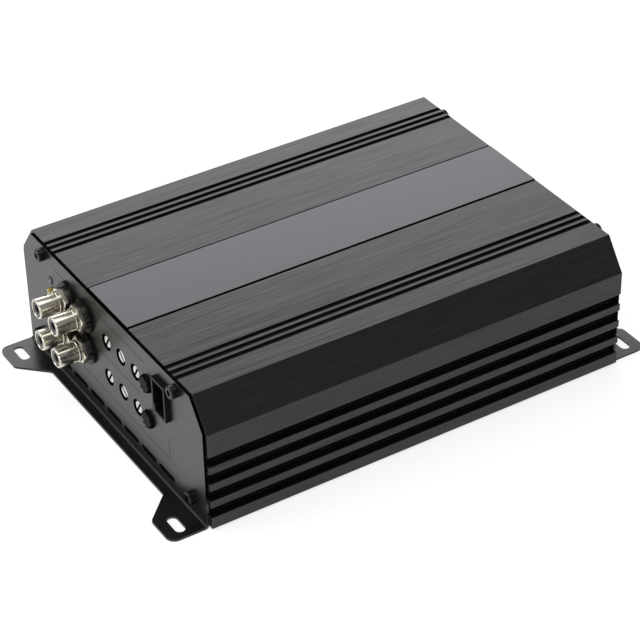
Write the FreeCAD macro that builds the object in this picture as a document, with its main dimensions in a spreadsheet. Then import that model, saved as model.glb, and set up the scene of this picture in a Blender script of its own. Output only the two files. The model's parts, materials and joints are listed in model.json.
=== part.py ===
import FreeCAD, Part
import math
import os
import Sketcher

# A compact two-channel car amplifier. Units are mm, +Z is up, the connector
# end faces -Y and the extrusion runs along Y. Z = 0 is the mounting plane
# under the four tabs and X = Y = 0 is the middle of the case.

doc = FreeCAD.newDocument("car_amplifier")
sheet = doc.addObject("Spreadsheet::Sheet", "Params")


class Size:
    """A number together with the spreadsheet expression that gives it."""

    def __init__(self, number, text):
        self.number = float(number)
        self.text = text

    def _with(self, other, sign):
        if not isinstance(other, Size):
            other = Size(other, "%.9g" % other)
        a, b = self.number, other.number
        number = {"+": a + b, "-": a - b, "*": a * b}[sign] if sign != "/" else a / b
        return Size(number, "(%s %s %s)" % (self.text, sign, other.text))

    def __add__(self, other):
        return self._with(other, "+")

    def __sub__(self, other):
        return self._with(other, "-")

    def __mul__(self, other):
        return self._with(other, "*")

    def __truediv__(self, other):
        return self._with(other, "/")

    def __radd__(self, other):
        return Size(other, "%.9g" % other)._with(self, "+")

    def __rsub__(self, other):
        return Size(other, "%.9g" % other)._with(self, "-")

    def __rmul__(self, other):
        return Size(other, "%.9g" % other)._with(self, "*")

    def __neg__(self):
        return Size(-self.number, "(-1 * %s)" % self.text)


class Sizes:
    """The named sizes, written once each into the spreadsheet."""

    def __init__(self):
        self.row = 0

    def add(self, name, value, note):
        self.row += 1
        cell = "B%d" % self.row
        sheet.set("A%d" % self.row, name)
        sheet.set(cell, "%.9g" % value)
        sheet.set("C%d" % self.row, note)
        sheet.setAlias(cell, name)
        setattr(self, name, Size(value, "Params." + name))


s = Sizes()
for name, value, note in [
    # extrusion
    ("body_length", 190, "extrusion length"),
    ("body_width", 150, "extrusion width"),
    ("body_height", 57, "extrusion height"),
    ("shoulder_width", 9.75, "chamfered shoulder, across"),
    ("shoulder_height", 12.9, "chamfered shoulder, down"),
    ("fin_groove_count", 4, "grooves in each side"),
    ("fin_groove_pitch", 7.98, "from one side groove to the next"),
    ("fin_groove_height", 4.8, "side groove opening"),
    ("fin_groove_depth", 3.6, "side groove depth"),
    ("fin_foot_height", 5.15, "solid band under the lowest side groove"),
    ("rib_groove_count", 3, "grooves in each group on the top"),
    ("rib_groove_pitch", 3.83, "from one top groove to the next"),
    ("rib_groove_width", 2.35, "top groove width"),
    ("rib_groove_depth", 1.2, "top groove depth"),
    ("rib_group_inset", 30.65, "inner top groove's near edge from the side"),
    ("wall_side", 8, "side wall with its fins"),
    ("wall_roof", 5.5, "roof of the extrusion"),
    ("wall_shoulder", 4.5, "wall under the shoulder"),
    ("rail_width", 7, "rail along the foot of each wall, inwards"),
    ("rail_top", 12.5, "top of the rail above the foot of the extrusion"),
    ("channel_half", 4, "half width of the upper screw channel"),
    ("channel_drop", 3, "upper screw channel under the roof"),
    # centre panel
    ("panel_width", 31.6, "centre panel width"),
    ("panel_thick", 2, "centre panel thickness"),
    ("panel_raise", 0.3, "centre panel above the top"),
    ("panel_gap", 0.8, "gap each side of the centre panel"),
    ("panel_bevel", 0.2, "bevel of the centre panel"),
    # bottom cover
    ("cover_thick", 1.2, "bottom cover thickness"),
    ("cover_recess", 1.5, "recess for the bottom cover"),
    ("cover_margin", 5, "foot of the wall outside the cover recess"),
    ("cover_gap", 0.3, "gap around the bottom cover"),
    ("cover_screw_inset", 11, "cover screws from the side of the case"),
    ("cover_screw_end", 13, "outer cover screws from the end of the case"),
    ("cover_screw_mid", 28, "inner cover screws from the middle"),
    # end plates
    ("sheet_gauge", 1, "end plate sheet"),
    ("bend_radius", 1, "inner bend radius"),
    ("plate_top_inset", 1, "end plate below the top"),
    ("plate_side_inset", 2, "end plate in from the side"),
    ("plate_corner_in", 0.85, "end plate corner in from the shoulder's top"),
    ("plate_corner_drop", 0.1, "end plate corner below the shoulder's foot"),
    ("flange_reach", 5.4, "flange edge beyond the end of the case"),
    ("tab_reach", 16.8, "tab edge beyond the end of the case"),
    ("tab_root_inset", 28.1, "tab where it leaves the flange edge, from the side"),
    ("tab_nose_inset", 16.8, "tab's inner corner from the side"),
    ("tab_outer_radius", 4, "tab's outer corner radius"),
    ("tab_inner_radius", 2.5, "tab's inner corner radius"),
    ("slot_inset", 10, "mounting slot from the side"),
    ("slot_reach", 10, "mounting slot beyond the end of the case"),
    ("slot_length", 10, "mounting slot end to end"),
    ("slot_width", 4.2, "mounting slot width"),
    ("vent_count", 7, "cooling slots in each end plate"),
    ("vent_pitch", 14.2, "from one cooling slot to the next"),
    ("vent_length", 11.8, "cooling slot length"),
    ("vent_width", 2.6, "cooling slot width"),
    ("vent_z", 5.5, "cooling slots above the foot of the extrusion"),
    # fasteners
    ("high_screw_inset", 21, "upper plate screws from the side"),
    ("high_screw_drop", 4.9, "upper plate screws below the top"),
    ("low_screw_inset", 12, "lower plate screws from the side"),
    ("low_screw_z", 8, "lower plate screws above the foot"),
    ("screw_d", 3, "screw shank"),
    ("screw_hole_d", 3.4, "clearance hole for a screw"),
    ("thread_gap", 0.05, "tapped hole over the shank"),
    ("cap_head_d", 5.5, "socket head"),
    ("cap_head_h", 3, "socket head height"),
    ("cap_hex", 2.5, "socket across flats"),
    ("cap_hex_depth", 1.6, "socket depth"),
    ("cap_edge", 0.5, "socket head edge chamfer"),
    ("cap_length", 10, "plate screw under its head"),
    ("sunk_head_d", 5.4, "countersunk head"),
    ("sunk_hole_d", 5.6, "countersink"),
    ("sunk_length", 5.5, "cover screw length"),
    ("sunk_hex", 2, "cover screw socket across flats"),
    ("sunk_hex_depth", 1.2, "cover screw socket depth"),
    ("board_screw_length", 6.5, "board screw under its head"),
    ("pan_head_h", 2, "board and clamp screw head height"),
    ("pan_hex_depth", 1, "board screw socket depth"),
    ("tap_depth", 12, "tapped hole for a plate screw"),
    # boards
    ("board_thick", 1.6, "circuit board thickness"),
    ("board_gap", 0.5, "main board to the side walls"),
    ("board_end_gap", 5, "main board short of the end plates"),
    ("board_screw_inset", 12, "board screws from the side of the case"),
    ("board_screw_pitch", 60, "board screws along the case"),
    ("control_depth", 7, "front of the control board behind the end of the case"),
    ("control_side_gap", 10, "control board to the side walls"),
    ("control_top_gap", 3.5, "control board below the roof"),
    # line-input jacks
    ("jack_x", 33, "outer jacks from the middle"),
    ("jack_pitch_x", 14, "from one jack to the next, across"),
    ("jack_z", 27.7, "lower jacks above the foot"),
    ("jack_pitch_z", 15.2, "from one jack to the next, up"),
    ("jack_reach", 15.4, "jack face beyond the end of the case"),
    ("jack_d", 8.4, "jack shell"),
    ("jack_bore_d", 6.6, "bore of the shell"),
    ("jack_lip", 0.6, "rounded lip of the shell"),
    ("jack_barrel", 8.6, "length of the plain barrel"),
    ("jack_collar_d", 9, "collar behind the barrel"),
    ("jack_collar_h", 1.4, "collar width"),
    ("jack_thread_d", 8, "threaded part of the shell"),
    ("jack_hole_gap", 0.2, "hole in the plate over the thread"),
    ("jack_flange_d", 10.6, "flange behind the plate"),
    ("jack_flange_h", 1.4, "flange thickness"),
    ("jack_core_d", 4, "bore of the insulating core"),
    ("jack_core_set", 0.4, "insulating core behind the lip"),
    ("jack_pin_bore_d", 3.3, "bore of the centre contact"),
    ("jack_pin_set", 1, "centre contact behind the lip"),
    ("jack_pin_depth", 14, "depth of the centre contact's bore"),
    ("jack_pin_tail", 1.5, "centre contact behind the control board"),
    ("jack_nut_flats", 10.3, "jack nut across flats"),
    ("jack_nut_h", 2, "jack nut thickness"),
    ("jack_nut_bevel", 0.5, "jack nut bevel"),
    ("jack_lock_d", 10.4, "lock washer under the jack nut"),
    ("jack_lock_h", 1.2, "lock washer thickness"),
    ("jack_lock_split", 1, "split of the lock washer"),
    ("jack_washer_d", 14.2, "jack washer"),
    ("jack_washer_h", 1.2, "jack washer thickness"),
    # trimmers and switches
    ("trim_x", -1.6, "first trimmer from the middle"),
    ("trim_pitch", 11.6, "from one trimmer to the next"),
    ("trim_z_low", 23.5, "lower trimmers above the foot"),
    ("trim_z_high", 40.3, "upper trimmers above the foot"),
    ("trim_rotor_d", 5.8, "trimmer rotor"),
    ("trim_hole_gap", 0.7, "plate around a trimmer rotor, on the radius"),
    ("trim_rotor_set", 0.5, "rotor face behind the plate's face"),
    ("trim_rotor_h", 4, "rotor head length"),
    ("trim_slot_w", 1.1, "screwdriver slot width"),
    ("trim_slot_h", 1.2, "screwdriver slot depth"),
    ("trim_wall", 1.5, "trimmer body around its well"),
    ("trim_body_h", 5.8, "trimmer body depth"),
    ("trim_shaft_d", 3, "rotor shaft"),
    ("trim_well_gap", 0.3, "rotor to the well around it"),
    ("turn_fit", 0.05, "running clearance of a shaft, on the radius"),
    ("end_float", 0.1, "end float of a shaft"),
    ("mode_gap", 0.2, "mode switch body to the last trimmer body"),
    ("mode_z_low", 24, "lower mode switch above the foot"),
    ("mode_z_high", 40.9, "upper mode switch above the foot"),
    ("mode_knob_d", 7.4, "fluted knob over its teeth"),
    ("mode_hole_gap", 0.3, "plate around a fluted knob, on the radius"),
    ("mode_knob_root_d", 6.2, "fluted knob between its teeth"),
    ("mode_knob_reach", 1.6, "knob beyond the plate's face"),
    ("mode_knob_h", 4.6, "knob length"),
    ("mode_teeth", 8, "teeth around the knob"),
    ("mode_wall", 0.4, "mode switch body around its well"),
    ("mode_mark_w", 0.8, "pointer groove width"),
    ("mode_mark_near", 0.8, "pointer groove starts from the middle"),
    ("mode_mark_h", 0.4, "pointer groove depth"),
    # indicators
    ("lamp_x", 48.9, "indicators from the middle"),
    ("power_lamp_z", 42.1, "power indicator above the foot"),
    ("status_lamp_z", 37.1, "status indicator above the foot"),
    ("power_lamp_d", 2.2, "power indicator diameter"),
    ("power_lamp_reach", 0.7, "power indicator beyond the plate's face"),
    ("power_lamp_round", 1, "power indicator's rounded end"),
    ("status_lamp_d", 3, "status indicator diameter"),
    ("status_lamp_reach", 1.6, "status indicator beyond the plate's face"),
    ("status_lamp_round", 0.5, "status indicator's rounded end"),
    ("lamp_rim", 0.4, "rim of an indicator behind the plate"),
    ("lamp_base", 3, "indicator behind the plate"),
    ("bezel_rim", 0.3, "bezel rim on the plate"),
    ("bezel_wall", 0.4, "bezel wall"),
    ("bezel_h", 0.3, "bezel rim height"),
    ("bezel_edge", 0.15, "bezel rim chamfer"),
    ("lamp_fit", 0.05, "clearance around an indicator, on the radius"),
    ("lead_w", 0.5, "indicator lead"),
    ("lead_pitch", 1.6, "between indicator leads"),
    # signal socket
    ("socket_side_gap", 2.7, "signal socket to the mode switch bodies"),
    ("socket_z", 41.6, "signal socket above the foot"),
    ("socket_w", 10, "signal socket width"),
    ("socket_tall", 16, "signal socket height"),
    ("socket_wall", 1, "socket wall"),
    ("socket_reach", 1.8, "socket beyond the plate's face"),
    ("socket_floor", 2, "socket floor"),
    ("socket_key_w", 1, "socket key, inwards"),
    ("socket_key_h", 3, "socket key, upwards"),
    ("socket_gap", 0.15, "plate opening around a socket"),
    ("pin_w", 0.64, "signal pin"),
    ("pin_gap", 0.03, "hole around a pin, each side"),
    ("pin_pitch_x", 3, "signal pins across"),
    ("pin_pitch_z", 3, "signal pins upwards"),
    ("pin_columns", 2, "signal pins in a row"),
    ("pin_rows", 4, "rows of signal pins"),
    ("pin_rise", 3.4, "signal pins above the socket floor"),
    # rear sockets and fuse
    ("rear_reach", 3.5, "rear sockets beyond the plate's face"),
    ("rear_deep", 19, "rear sockets, depth of housing"),
    ("rear_tall", 17, "rear sockets, height"),
    ("rear_wall", 1.5, "rear socket wall"),
    ("rear_floor", 3, "rear socket floor"),
    ("power_x", -25, "power socket from the middle"),
    ("power_w", 24, "power socket width"),
    ("speaker_x", 22, "speaker socket from the middle"),
    ("speaker_w", 38, "speaker socket width"),
    ("rear_pin_w", 1.6, "rear pin"),
    ("rear_pin_pitch", 8, "rear pins across"),
    ("rear_pin_rise", 7, "rear pins above the socket floor"),
    ("rear_pin_low", 5, "lower rear pins above the board"),
    ("rear_pin_step", 7, "upper rear pins above the lower"),
    ("rear_leg_back", 1.5, "lower pin legs behind the housing"),
    ("rear_leg_step", 3, "upper pin legs behind the lower"),
    ("fuse_x", -25, "fuse from the middle"),
    ("fuse_z", 41, "fuse above the foot"),
    ("fuse_w", 19, "fuse width"),
    ("fuse_t", 5, "fuse thickness"),
    ("fuse_body", 11, "fuse body height"),
    ("fuse_blade_w", 5, "fuse blade width"),
    ("fuse_blade_t", 0.7, "fuse blade thickness"),
    ("fuse_blade_h", 6, "fuse blade length"),
    ("fuse_reach", 5, "fuse beyond the plate's face"),
    ("holder_wall", 1.4, "fuse holder wall"),
    ("holder_rim", 1.5, "fuse holder rim, outwards"),
    ("holder_rim_h", 1, "fuse holder rim thickness"),
    ("holder_gap", 0.1, "fuse in its holder"),
    # heat path
    ("pad_thick", 0.5, "thermal pad"),
    ("pad_z", 20, "thermal pad from the foot"),
    ("pad_tall", 17, "thermal pad height"),
    ("strip_length", 104, "thermal pad and clamp bar length"),
    ("device_pitch", 24, "from one transistor to the next"),
    ("device_w", 10, "transistor width"),
    ("device_t", 4.4, "transistor thickness"),
    ("device_z", 20, "transistor body above the foot"),
    ("device_h", 9.6, "transistor body height"),
    ("device_tab_h", 6.4, "transistor tab height"),
    ("device_tab_t", 1.3, "transistor tab thickness"),
    ("device_leg_w", 0.8, "transistor leg width"),
    ("device_leg_t", 0.5, "transistor leg thickness"),
    ("device_leg_pitch", 2.54, "between transistor legs"),
    ("bar_thick", 2.5, "clamp bar thickness"),
    ("bar_tall", 5, "clamp bar height"),
    ("clamp_z", 27.5, "clamp screws above the foot"),
    ("clamp_tap", 3.6, "clamp screw in the wall"),
    ("clamp_run_out", 0.4, "tapped hole beyond the clamp screw"),
    # supply and filter parts on the main board
    ("toroid_x", -18, "transformer from the middle"),
    ("toroid_y", 26, "transformer along the case"),
    ("toroid_bore_d", 18, "transformer core bore"),
    ("toroid_d", 34, "transformer core diameter"),
    ("toroid_tall", 12, "transformer core height"),
    ("wire_d", 1.4, "winding wire"),
    ("wire_gap", 0.1, "winding to its core"),
    ("turn_count", 20, "turns around the core"),
    ("cap_x", 20, "capacitors from the middle"),
    ("cap_y", 36, "rear capacitor along the case"),
    ("cap_pitch", 20, "between capacitors"),
    ("cap_d", 16, "capacitor diameter"),
    ("cap_tall", 30, "capacitor height"),
    ("cap_roll", 0.5, "rolled groove of a capacitor"),
    ("cap_neck", 3.2, "rolled groove above the capacitor's foot"),
    ("choke_x", 30, "chokes from the middle"),
    ("choke_y", -28, "chokes along the case"),
    ("choke_d", 16, "choke flange diameter"),
    ("choke_core_d", 12.5, "choke winding diameter"),
    ("choke_tall", 12, "choke height"),
    ("choke_flange", 1.5, "choke flange thickness"),
    ("chip_w", 10, "driver chip length"),
    ("chip_d", 4, "driver chip width"),
    ("chip_h", 1.8, "driver chip height"),
    ("chip_leg", 1, "driver chip legs, outwards"),
    ("chip_leg_span", 9, "driver chip legs, along the chip"),
    ("chip_leg_h", 0.4, "driver chip legs, thickness"),
    ("chip_pitch", 20, "between driver chips"),
    ("chip_y", -58, "driver chips along the case"),
    ("header_half", 20, "half length of the board-to-board header"),
    ("header_w", 2.5, "board-to-board header"),
]:
    s.add(name, value, note)
doc.recompute()

# ---- places that follow from the sizes

foot = s.sheet_gauge                                   # foot of the extrusion
crown = foot + s.body_height                           # its top
half_x = s.body_width / 2
half_y = s.body_length / 2
plate_face = half_y + s.sheet_gauge                    # outer face of an end plate
inner_x = half_x - s.wall_side                         # inner face of a side wall
roof = crown - s.wall_roof
rail_x = inner_x - s.rail_width
rail_z = foot + s.rail_top
cover_x = half_x - s.cover_margin
cover_seat = foot + s.cover_recess
board_low = rail_z
board_top = rail_z + s.board_thick
control_front = half_y - s.control_depth
control_back = control_front - s.board_thick
high_screw_x = half_x - s.high_screw_inset
high_screw_z = crown - s.high_screw_drop
low_screw_x = half_x - s.low_screw_inset
low_screw_z = foot + s.low_screw_z
cover_screw_x = half_x - s.cover_screw_inset
board_screw_x = half_x - s.board_screw_inset
pad_x = inner_x - s.pad_thick                          # back of a transistor
device_x = pad_x - s.device_t                          # its front
bar_x = device_x - s.bar_thick
plate_screws = [(-high_screw_x, high_screw_z), (high_screw_x, high_screw_z),
                (-low_screw_x, low_screw_z), (low_screw_x, low_screw_z)]
cover_screws = [(sx * cover_screw_x, sy * y) for sx in (-1, 1) for sy in (-1, 1)
                for y in (half_y - s.cover_screw_end, s.cover_screw_mid)]
board_screws = [(sx * board_screw_x, k * s.board_screw_pitch) for sx in (-1, 1) for k in (-1, 0, 1)]
jacks = [(x, z) for z in (foot + s.jack_z + s.jack_pitch_z, foot + s.jack_z)
         for x in (-s.jack_x, s.jack_pitch_x - s.jack_x)]
jack_nut_turns = (20, 10, 50, -3)                      # how far each nut happened to turn
trim_columns = [s.trim_x + k * s.trim_pitch for k in range(3)]
trimmers = [(x, foot + z) for z in (s.trim_z_high, s.trim_z_low) for x in trim_columns]
trim_body = s.trim_rotor_d + 2 * (s.trim_well_gap + s.trim_wall)
mode_body = s.mode_knob_d + 2 * (s.trim_well_gap + s.mode_wall)
mode_x = trim_columns[-1] + trim_body / 2 + s.mode_gap + mode_body / 2
socket_x = mode_x + mode_body / 2 + s.socket_side_gap + s.socket_w / 2
trimmer_turns = (-149, -45, -149, -149, -45, -149)     # clockwise from upright, seen from the front
switch_turns = (-120, -120)                            # the selectors stand at the start of their travel
switches = [(mode_x, foot + s.mode_z_high), (mode_x, foot + s.mode_z_low)]
power_lamp = (-s.lamp_x, foot + s.power_lamp_z)
status_lamp = (-s.lamp_x, foot + s.status_lamp_z)
device_count = 4
clamp_count = device_count - 1
chip_count = 4

SHORT = 1e-9
TOOTH_ROOT = 0.30                                      # half a tooth at its root, as a share of the pitch
TOOTH_TIP = 0.14                                       # half a tooth at its tip
made = []


def clamp_rows():
    """Where the clamp screws stand along the case, between the transistors."""
    return [(k - (clamp_count - 1) / 2) * s.device_pitch for k in range(clamp_count)]


# ---- drawing helpers

def number(value):
    return value.number if isinstance(value, Size) else float(value)


def bind(owner, path, value):
    """Drive one property from the spreadsheet, or set it if it is fixed."""
    if isinstance(value, Size):
        owner.setExpression(path, value.text)
    elif "." not in path:
        setattr(owner, path, value)
    else:
        owner.setExpression(path, "%.9g" % value)


def body(label, at=(0, 0, 0)):
    b = doc.addObject("PartDesign::Body", label)
    b.Label = label
    b.AllowCompound = True
    for axis, value in zip("xyz", at):
        if isinstance(value, Size) or value:
            bind(b, "Placement.Base." + axis, value)
    made.append(b)
    return b


def sketch(b, name, plane, shift=(0, 0, 0)):
    sk = b.newObject("Sketcher::SketchObject", name)
    sk.AttachmentSupport = ([f for f in b.Origin.OriginFeatures if f.Role == plane][0], "")
    sk.MapMode = "FlatFace"
    for axis, value in zip("xyz", shift):
        if isinstance(value, Size) or value:
            bind(sk, "AttachmentOffset.Base." + axis, value)
    return sk


def pin_point(sk, geo, pos, x, y):
    """Hold a point of a sketch at x, y, both driven by the spreadsheet."""
    for kind, value, axis in (("DistanceX", x, -2), ("DistanceY", y, -1)):
        if not isinstance(value, Size) and abs(value) < SHORT:
            sk.addConstraint(Sketcher.Constraint("PointOnObject", geo, pos, axis))
            continue
        i = sk.addConstraint(Sketcher.Constraint(kind, -1, 1, geo, pos, number(value)))
        if isinstance(value, Size):
            sk.setExpression("Constraints[%d]" % i, value.text)


def outline(sk, points, arcs=None):
    """A closed outline; arcs maps a corner's index to (radius, centre) of the arc to the next corner."""
    arcs = arcs or {}
    base = sk.GeometryCount
    count = len(points)
    ends = []
    for i in range(count):
        (x0, y0), (x1, y1) = [(number(x), number(y)) for x, y in (points[i], points[(i + 1) % count])]
        if i in arcs:
            radius, centre = arcs[i]
            cx, cy = number(centre[0]), number(centre[1])
            a0, a1 = math.atan2(y0 - cy, x0 - cx), math.atan2(y1 - cy, x1 - cx)
            turn = (a1 - a0) % (2 * math.pi)
            ends.append((1, 2) if turn < math.pi else (2, 1))
            if turn > math.pi:
                a0, turn = a1, 2 * math.pi - turn
            round_ = Part.Circle(FreeCAD.Vector(cx, cy, 0), FreeCAD.Vector(0, 0, 1), number(radius))
            sk.addGeometry(Part.ArcOfCircle(round_, a0, a0 + turn), False)
        else:
            ends.append((1, 2))
            sk.addGeometry(Part.LineSegment(FreeCAD.Vector(x0, y0, 0), FreeCAD.Vector(x1, y1, 0)), False)
    for i in range(count):
        j = (i + 1) % count
        sk.addConstraint(Sketcher.Constraint("Coincident", base + i, ends[i][1], base + j, ends[j][0]))
        pin_point(sk, base + i, ends[i][0], points[i][0], points[i][1])
    for i, (radius, centre) in arcs.items():
        c = sk.addConstraint(Sketcher.Constraint("Radius", base + i, number(radius)))
        sk.setExpression("Constraints[%d]" % c, radius.text)


def rectangle(sk, x0, x1, y0, y1):
    outline(sk, [(x0, y0), (x1, y0), (x1, y1), (x0, y1)])


def block(sk, x, y, width, height):
    rectangle(sk, x - width / 2, x + width / 2, y - height / 2, y + height / 2)


def circle(sk, x, y, diameter):
    centre = FreeCAD.Vector(number(x), number(y), 0)
    g = sk.addGeometry(Part.Circle(centre, FreeCAD.Vector(0, 0, 1), number(diameter) / 2), False)
    pin_point(sk, g, 3, x, y)
    c = sk.addConstraint(Sketcher.Constraint("Diameter", g, number(diameter)))
    if isinstance(diameter, Size):
        sk.setExpression("Constraints[%d]" % c, diameter.text)


def slot(sk, x, y, length, width):
    """A round-ended slot along the sketch's x axis."""
    r = number(width) / 2
    reach = (length - width) / 2
    x0, x1, yc = number(x - reach), number(x + reach), number(y)
    up = FreeCAD.Vector(0, 0, 1)
    g = sk.GeometryCount
    sk.addGeometry(Part.LineSegment(FreeCAD.Vector(x0, yc + r, 0), FreeCAD.Vector(x1, yc + r, 0)), False)
    right = Part.Circle(FreeCAD.Vector(x1, yc, 0), up, r)
    sk.addGeometry(Part.ArcOfCircle(right, -math.pi / 2, math.pi / 2), False)
    sk.addGeometry(Part.LineSegment(FreeCAD.Vector(x1, yc - r, 0), FreeCAD.Vector(x0, yc - r, 0)), False)
    left = Part.Circle(FreeCAD.Vector(x0, yc, 0), up, r)
    sk.addGeometry(Part.ArcOfCircle(left, math.pi / 2, 3 * math.pi / 2), False)
    for a, pa, c, pc in ((0, 2, 1, 2), (1, 1, 2, 1), (2, 2, 3, 2), (3, 1, 0, 1)):
        sk.addConstraint(Sketcher.Constraint("Tangent", g + a, pa, g + c, pc))
    pin_point(sk, g + 1, 3, x + reach, y)
    pin_point(sk, g + 3, 3, x - reach, y)
    c = sk.addConstraint(Sketcher.Constraint("Radius", g + 1, r))
    sk.setExpression("Constraints[%d]" % c, (width / 2).text)


def turned_bar(sk, turn, near, far, width):
    """A bar about the sketch's origin, from near to far, turned clockwise from upright."""
    cos, sin = math.cos(math.radians(turn)), math.sin(math.radians(turn))
    outline(sk, [(r * sin + w * width / 2 * cos, r * cos - w * width / 2 * sin)
                 for r, w in ((near, -1), (far, -1), (far, 1), (near, 1))])


def hexagon(sk, x, y, flats, turn=30):
    corner = flats / math.sqrt(3)
    angles = [math.radians(a + turn) for a in range(0, 360, 60)]
    outline(sk, [(x + corner * math.cos(a), y + corner * math.sin(a)) for a in angles])


def pad(b, name, sk, length, both=False, flip=False):
    f = b.newObject("PartDesign::Pad", name)
    f.Profile = sk
    bind(f, "Length", length)
    if both:
        f.SideType = "Symmetric"
    f.Reversed = flip
    return f


def pocket(b, name, sk, length=None, both=False, flip=False):
    """Cut the sketch's shape; without a length it goes right through both ways."""
    f = b.newObject("PartDesign::Pocket", name)
    f.Profile = sk
    if length is None:
        f.Type = "ThroughAll"
        f.SideType = "Symmetric"
    else:
        bind(f, "Length", length)
        if both:
            f.SideType = "Symmetric"
    f.Reversed = flip
    return f


def spin(b, name, sk, axis="V_Axis", cut=False):
    f = b.newObject("PartDesign::Groove" if cut else "PartDesign::Revolution", name)
    f.Profile = sk
    f.ReferenceAxis = (sk, [axis])
    f.Angle = 360
    return f


def edges_at(shape, points, direction, reach=0.05):
    """Names of the straight edges along a direction that pass through the given points."""
    names = []
    for i, e in enumerate(shape.Edges):
        if e.Curve.TypeId != "Part::GeomLine":
            continue
        along = (e.Vertexes[-1].Point - e.Vertexes[0].Point)
        along.normalize()
        if abs(abs(along.dot(direction)) - 1) > 1e-6:
            continue
        middle = (e.Vertexes[-1].Point + e.Vertexes[0].Point) * 0.5
        for p in points:
            gap = p - middle
            if (gap - direction * gap.dot(direction)).Length < reach:
                names.append("Edge%d" % (i + 1))
                break
    return names


def rounds_at(shape, height, radius, reach=0.02):
    """Names of the round edges of a radius that lie at a height."""
    return ["Edge%d" % (i + 1) for i, e in enumerate(shape.Edges)
            if e.Curve.TypeId == "Part::GeomCircle" and abs(e.Curve.Radius - radius) < reach
            and abs(e.BoundBox.ZMin - height) < reach and abs(e.BoundBox.ZMax - height) < reach]


def dress(b, kind, name, edges, size):
    base = b.Tip
    f = b.newObject("PartDesign::" + kind, name)
    f.Base = (base, edges)
    bind(f, "Radius" if kind == "Fillet" else "Size", size)
    b.Tip = f
    return f


# ---- case

def make_heatsink():
    b = body("heatsink_body")
    sk = sketch(b, "heatsink_outline", "XZ_Plane")
    shoulder_x, shoulder_z = half_x - s.shoulder_width, crown - s.shoulder_height
    outline(sk, [(-half_x, foot), (half_x, foot), (half_x, shoulder_z), (shoulder_x, crown),
                 (-shoulder_x, crown), (-half_x, shoulder_z)])
    pad(b, "heatsink_bar", sk, s.body_length, both=True)

    # the inner shoulder runs parallel to the outer one, a wall's thickness in
    slope = math.hypot(s.shoulder_width.number, s.shoulder_height.number)
    nx, nz = s.shoulder_height.number / slope, s.shoulder_width.number / slope
    inner_z = shoulder_z + (nx * s.wall_side - s.wall_shoulder) / nz
    inner_shoulder_x = half_x - (nz * (roof - shoulder_z) + s.wall_shoulder) / nx
    half = [(cover_x, foot), (cover_x, cover_seat), (rail_x, cover_seat), (rail_x, rail_z), (inner_x, rail_z),
            (inner_x, inner_z), (inner_shoulder_x, roof),
            (high_screw_x + s.channel_half, roof), (high_screw_x + s.channel_half, roof - s.channel_drop),
            (high_screw_x - s.channel_half, roof - s.channel_drop), (high_screw_x - s.channel_half, roof)]
    sk = sketch(b, "heatsink_cavity_outline", "XZ_Plane")
    outline(sk, half + [(-x, z) for x, z in reversed(half)])
    pocket(b, "heatsink_cavity", sk)

    sk = sketch(b, "heatsink_side_grooves_outline", "XZ_Plane")
    for k in range(int(s.fin_groove_count.number)):
        z0 = foot + s.fin_foot_height + k * s.fin_groove_pitch
        for side in (-1, 1):
            rectangle(sk, side * (half_x - s.fin_groove_depth), side * half_x, z0, z0 + s.fin_groove_height)
    pocket(b, "heatsink_side_grooves", sk)

    sk = sketch(b, "heatsink_top_grooves_outline", "XZ_Plane")
    for k in range(int(s.rib_groove_count.number)):
        x0 = half_x - s.rib_group_inset + k * s.rib_groove_pitch
        for side in (-1, 1):
            rectangle(sk, side * x0, side * (x0 + s.rib_groove_width), crown - s.rib_groove_depth, crown)
    seat_x = s.panel_width / 2 + s.panel_gap
    rectangle(sk, -seat_x, seat_x, crown + s.panel_raise - s.panel_thick, crown)
    pocket(b, "heatsink_top_grooves", sk)

    for end, name in ((1, "front"), (-1, "rear")):
        sk = sketch(b, "heatsink_%s_taps_outline" % name, "XZ_Plane", (0, 0, end * half_y))
        for x, z in plate_screws:
            circle(sk, x, z, s.screw_d + s.thread_gap)
        pocket(b, "heatsink_%s_taps" % name, sk, s.tap_depth, flip=end < 0)

    sk = sketch(b, "heatsink_cover_taps_outline", "XY_Plane", (0, 0, cover_seat))
    for x, y in cover_screws:
        circle(sk, x, y, s.screw_d + s.thread_gap)
    pocket(b, "heatsink_cover_taps", sk, s.sunk_length, flip=True)

    sk = sketch(b, "heatsink_board_taps_outline", "XY_Plane", (0, 0, rail_z))
    for x, y in board_screws:
        circle(sk, x, y, s.screw_d + s.thread_gap)
    pocket(b, "heatsink_board_taps", sk, s.board_screw_length)

    for side, name in ((-1, "left"), (1, "right")):
        sk = sketch(b, "heatsink_%s_clamp_taps_outline" % name, "YZ_Plane", (0, 0, side * inner_x))
        for y in clamp_rows():
            circle(sk, y, foot + s.clamp_z, s.screw_d + s.thread_gap)
        pocket(b, "heatsink_%s_clamp_taps" % name, sk, s.clamp_tap + s.clamp_run_out, flip=side > 0)
    return b


def make_centre_panel():
    b = body("centre_panel")
    sk = sketch(b, "centre_panel_outline", "XZ_Plane")
    top = crown + s.panel_raise
    x = s.panel_width / 2
    bevel = s.panel_bevel
    outline(sk, [(-x, top - s.panel_thick), (x, top - s.panel_thick), (x, top - bevel), (x - bevel, top),
                 (bevel - x, top), (-x, top - bevel)])
    pad(b, "centre_panel_bar", sk, s.body_length, both=True)


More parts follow.
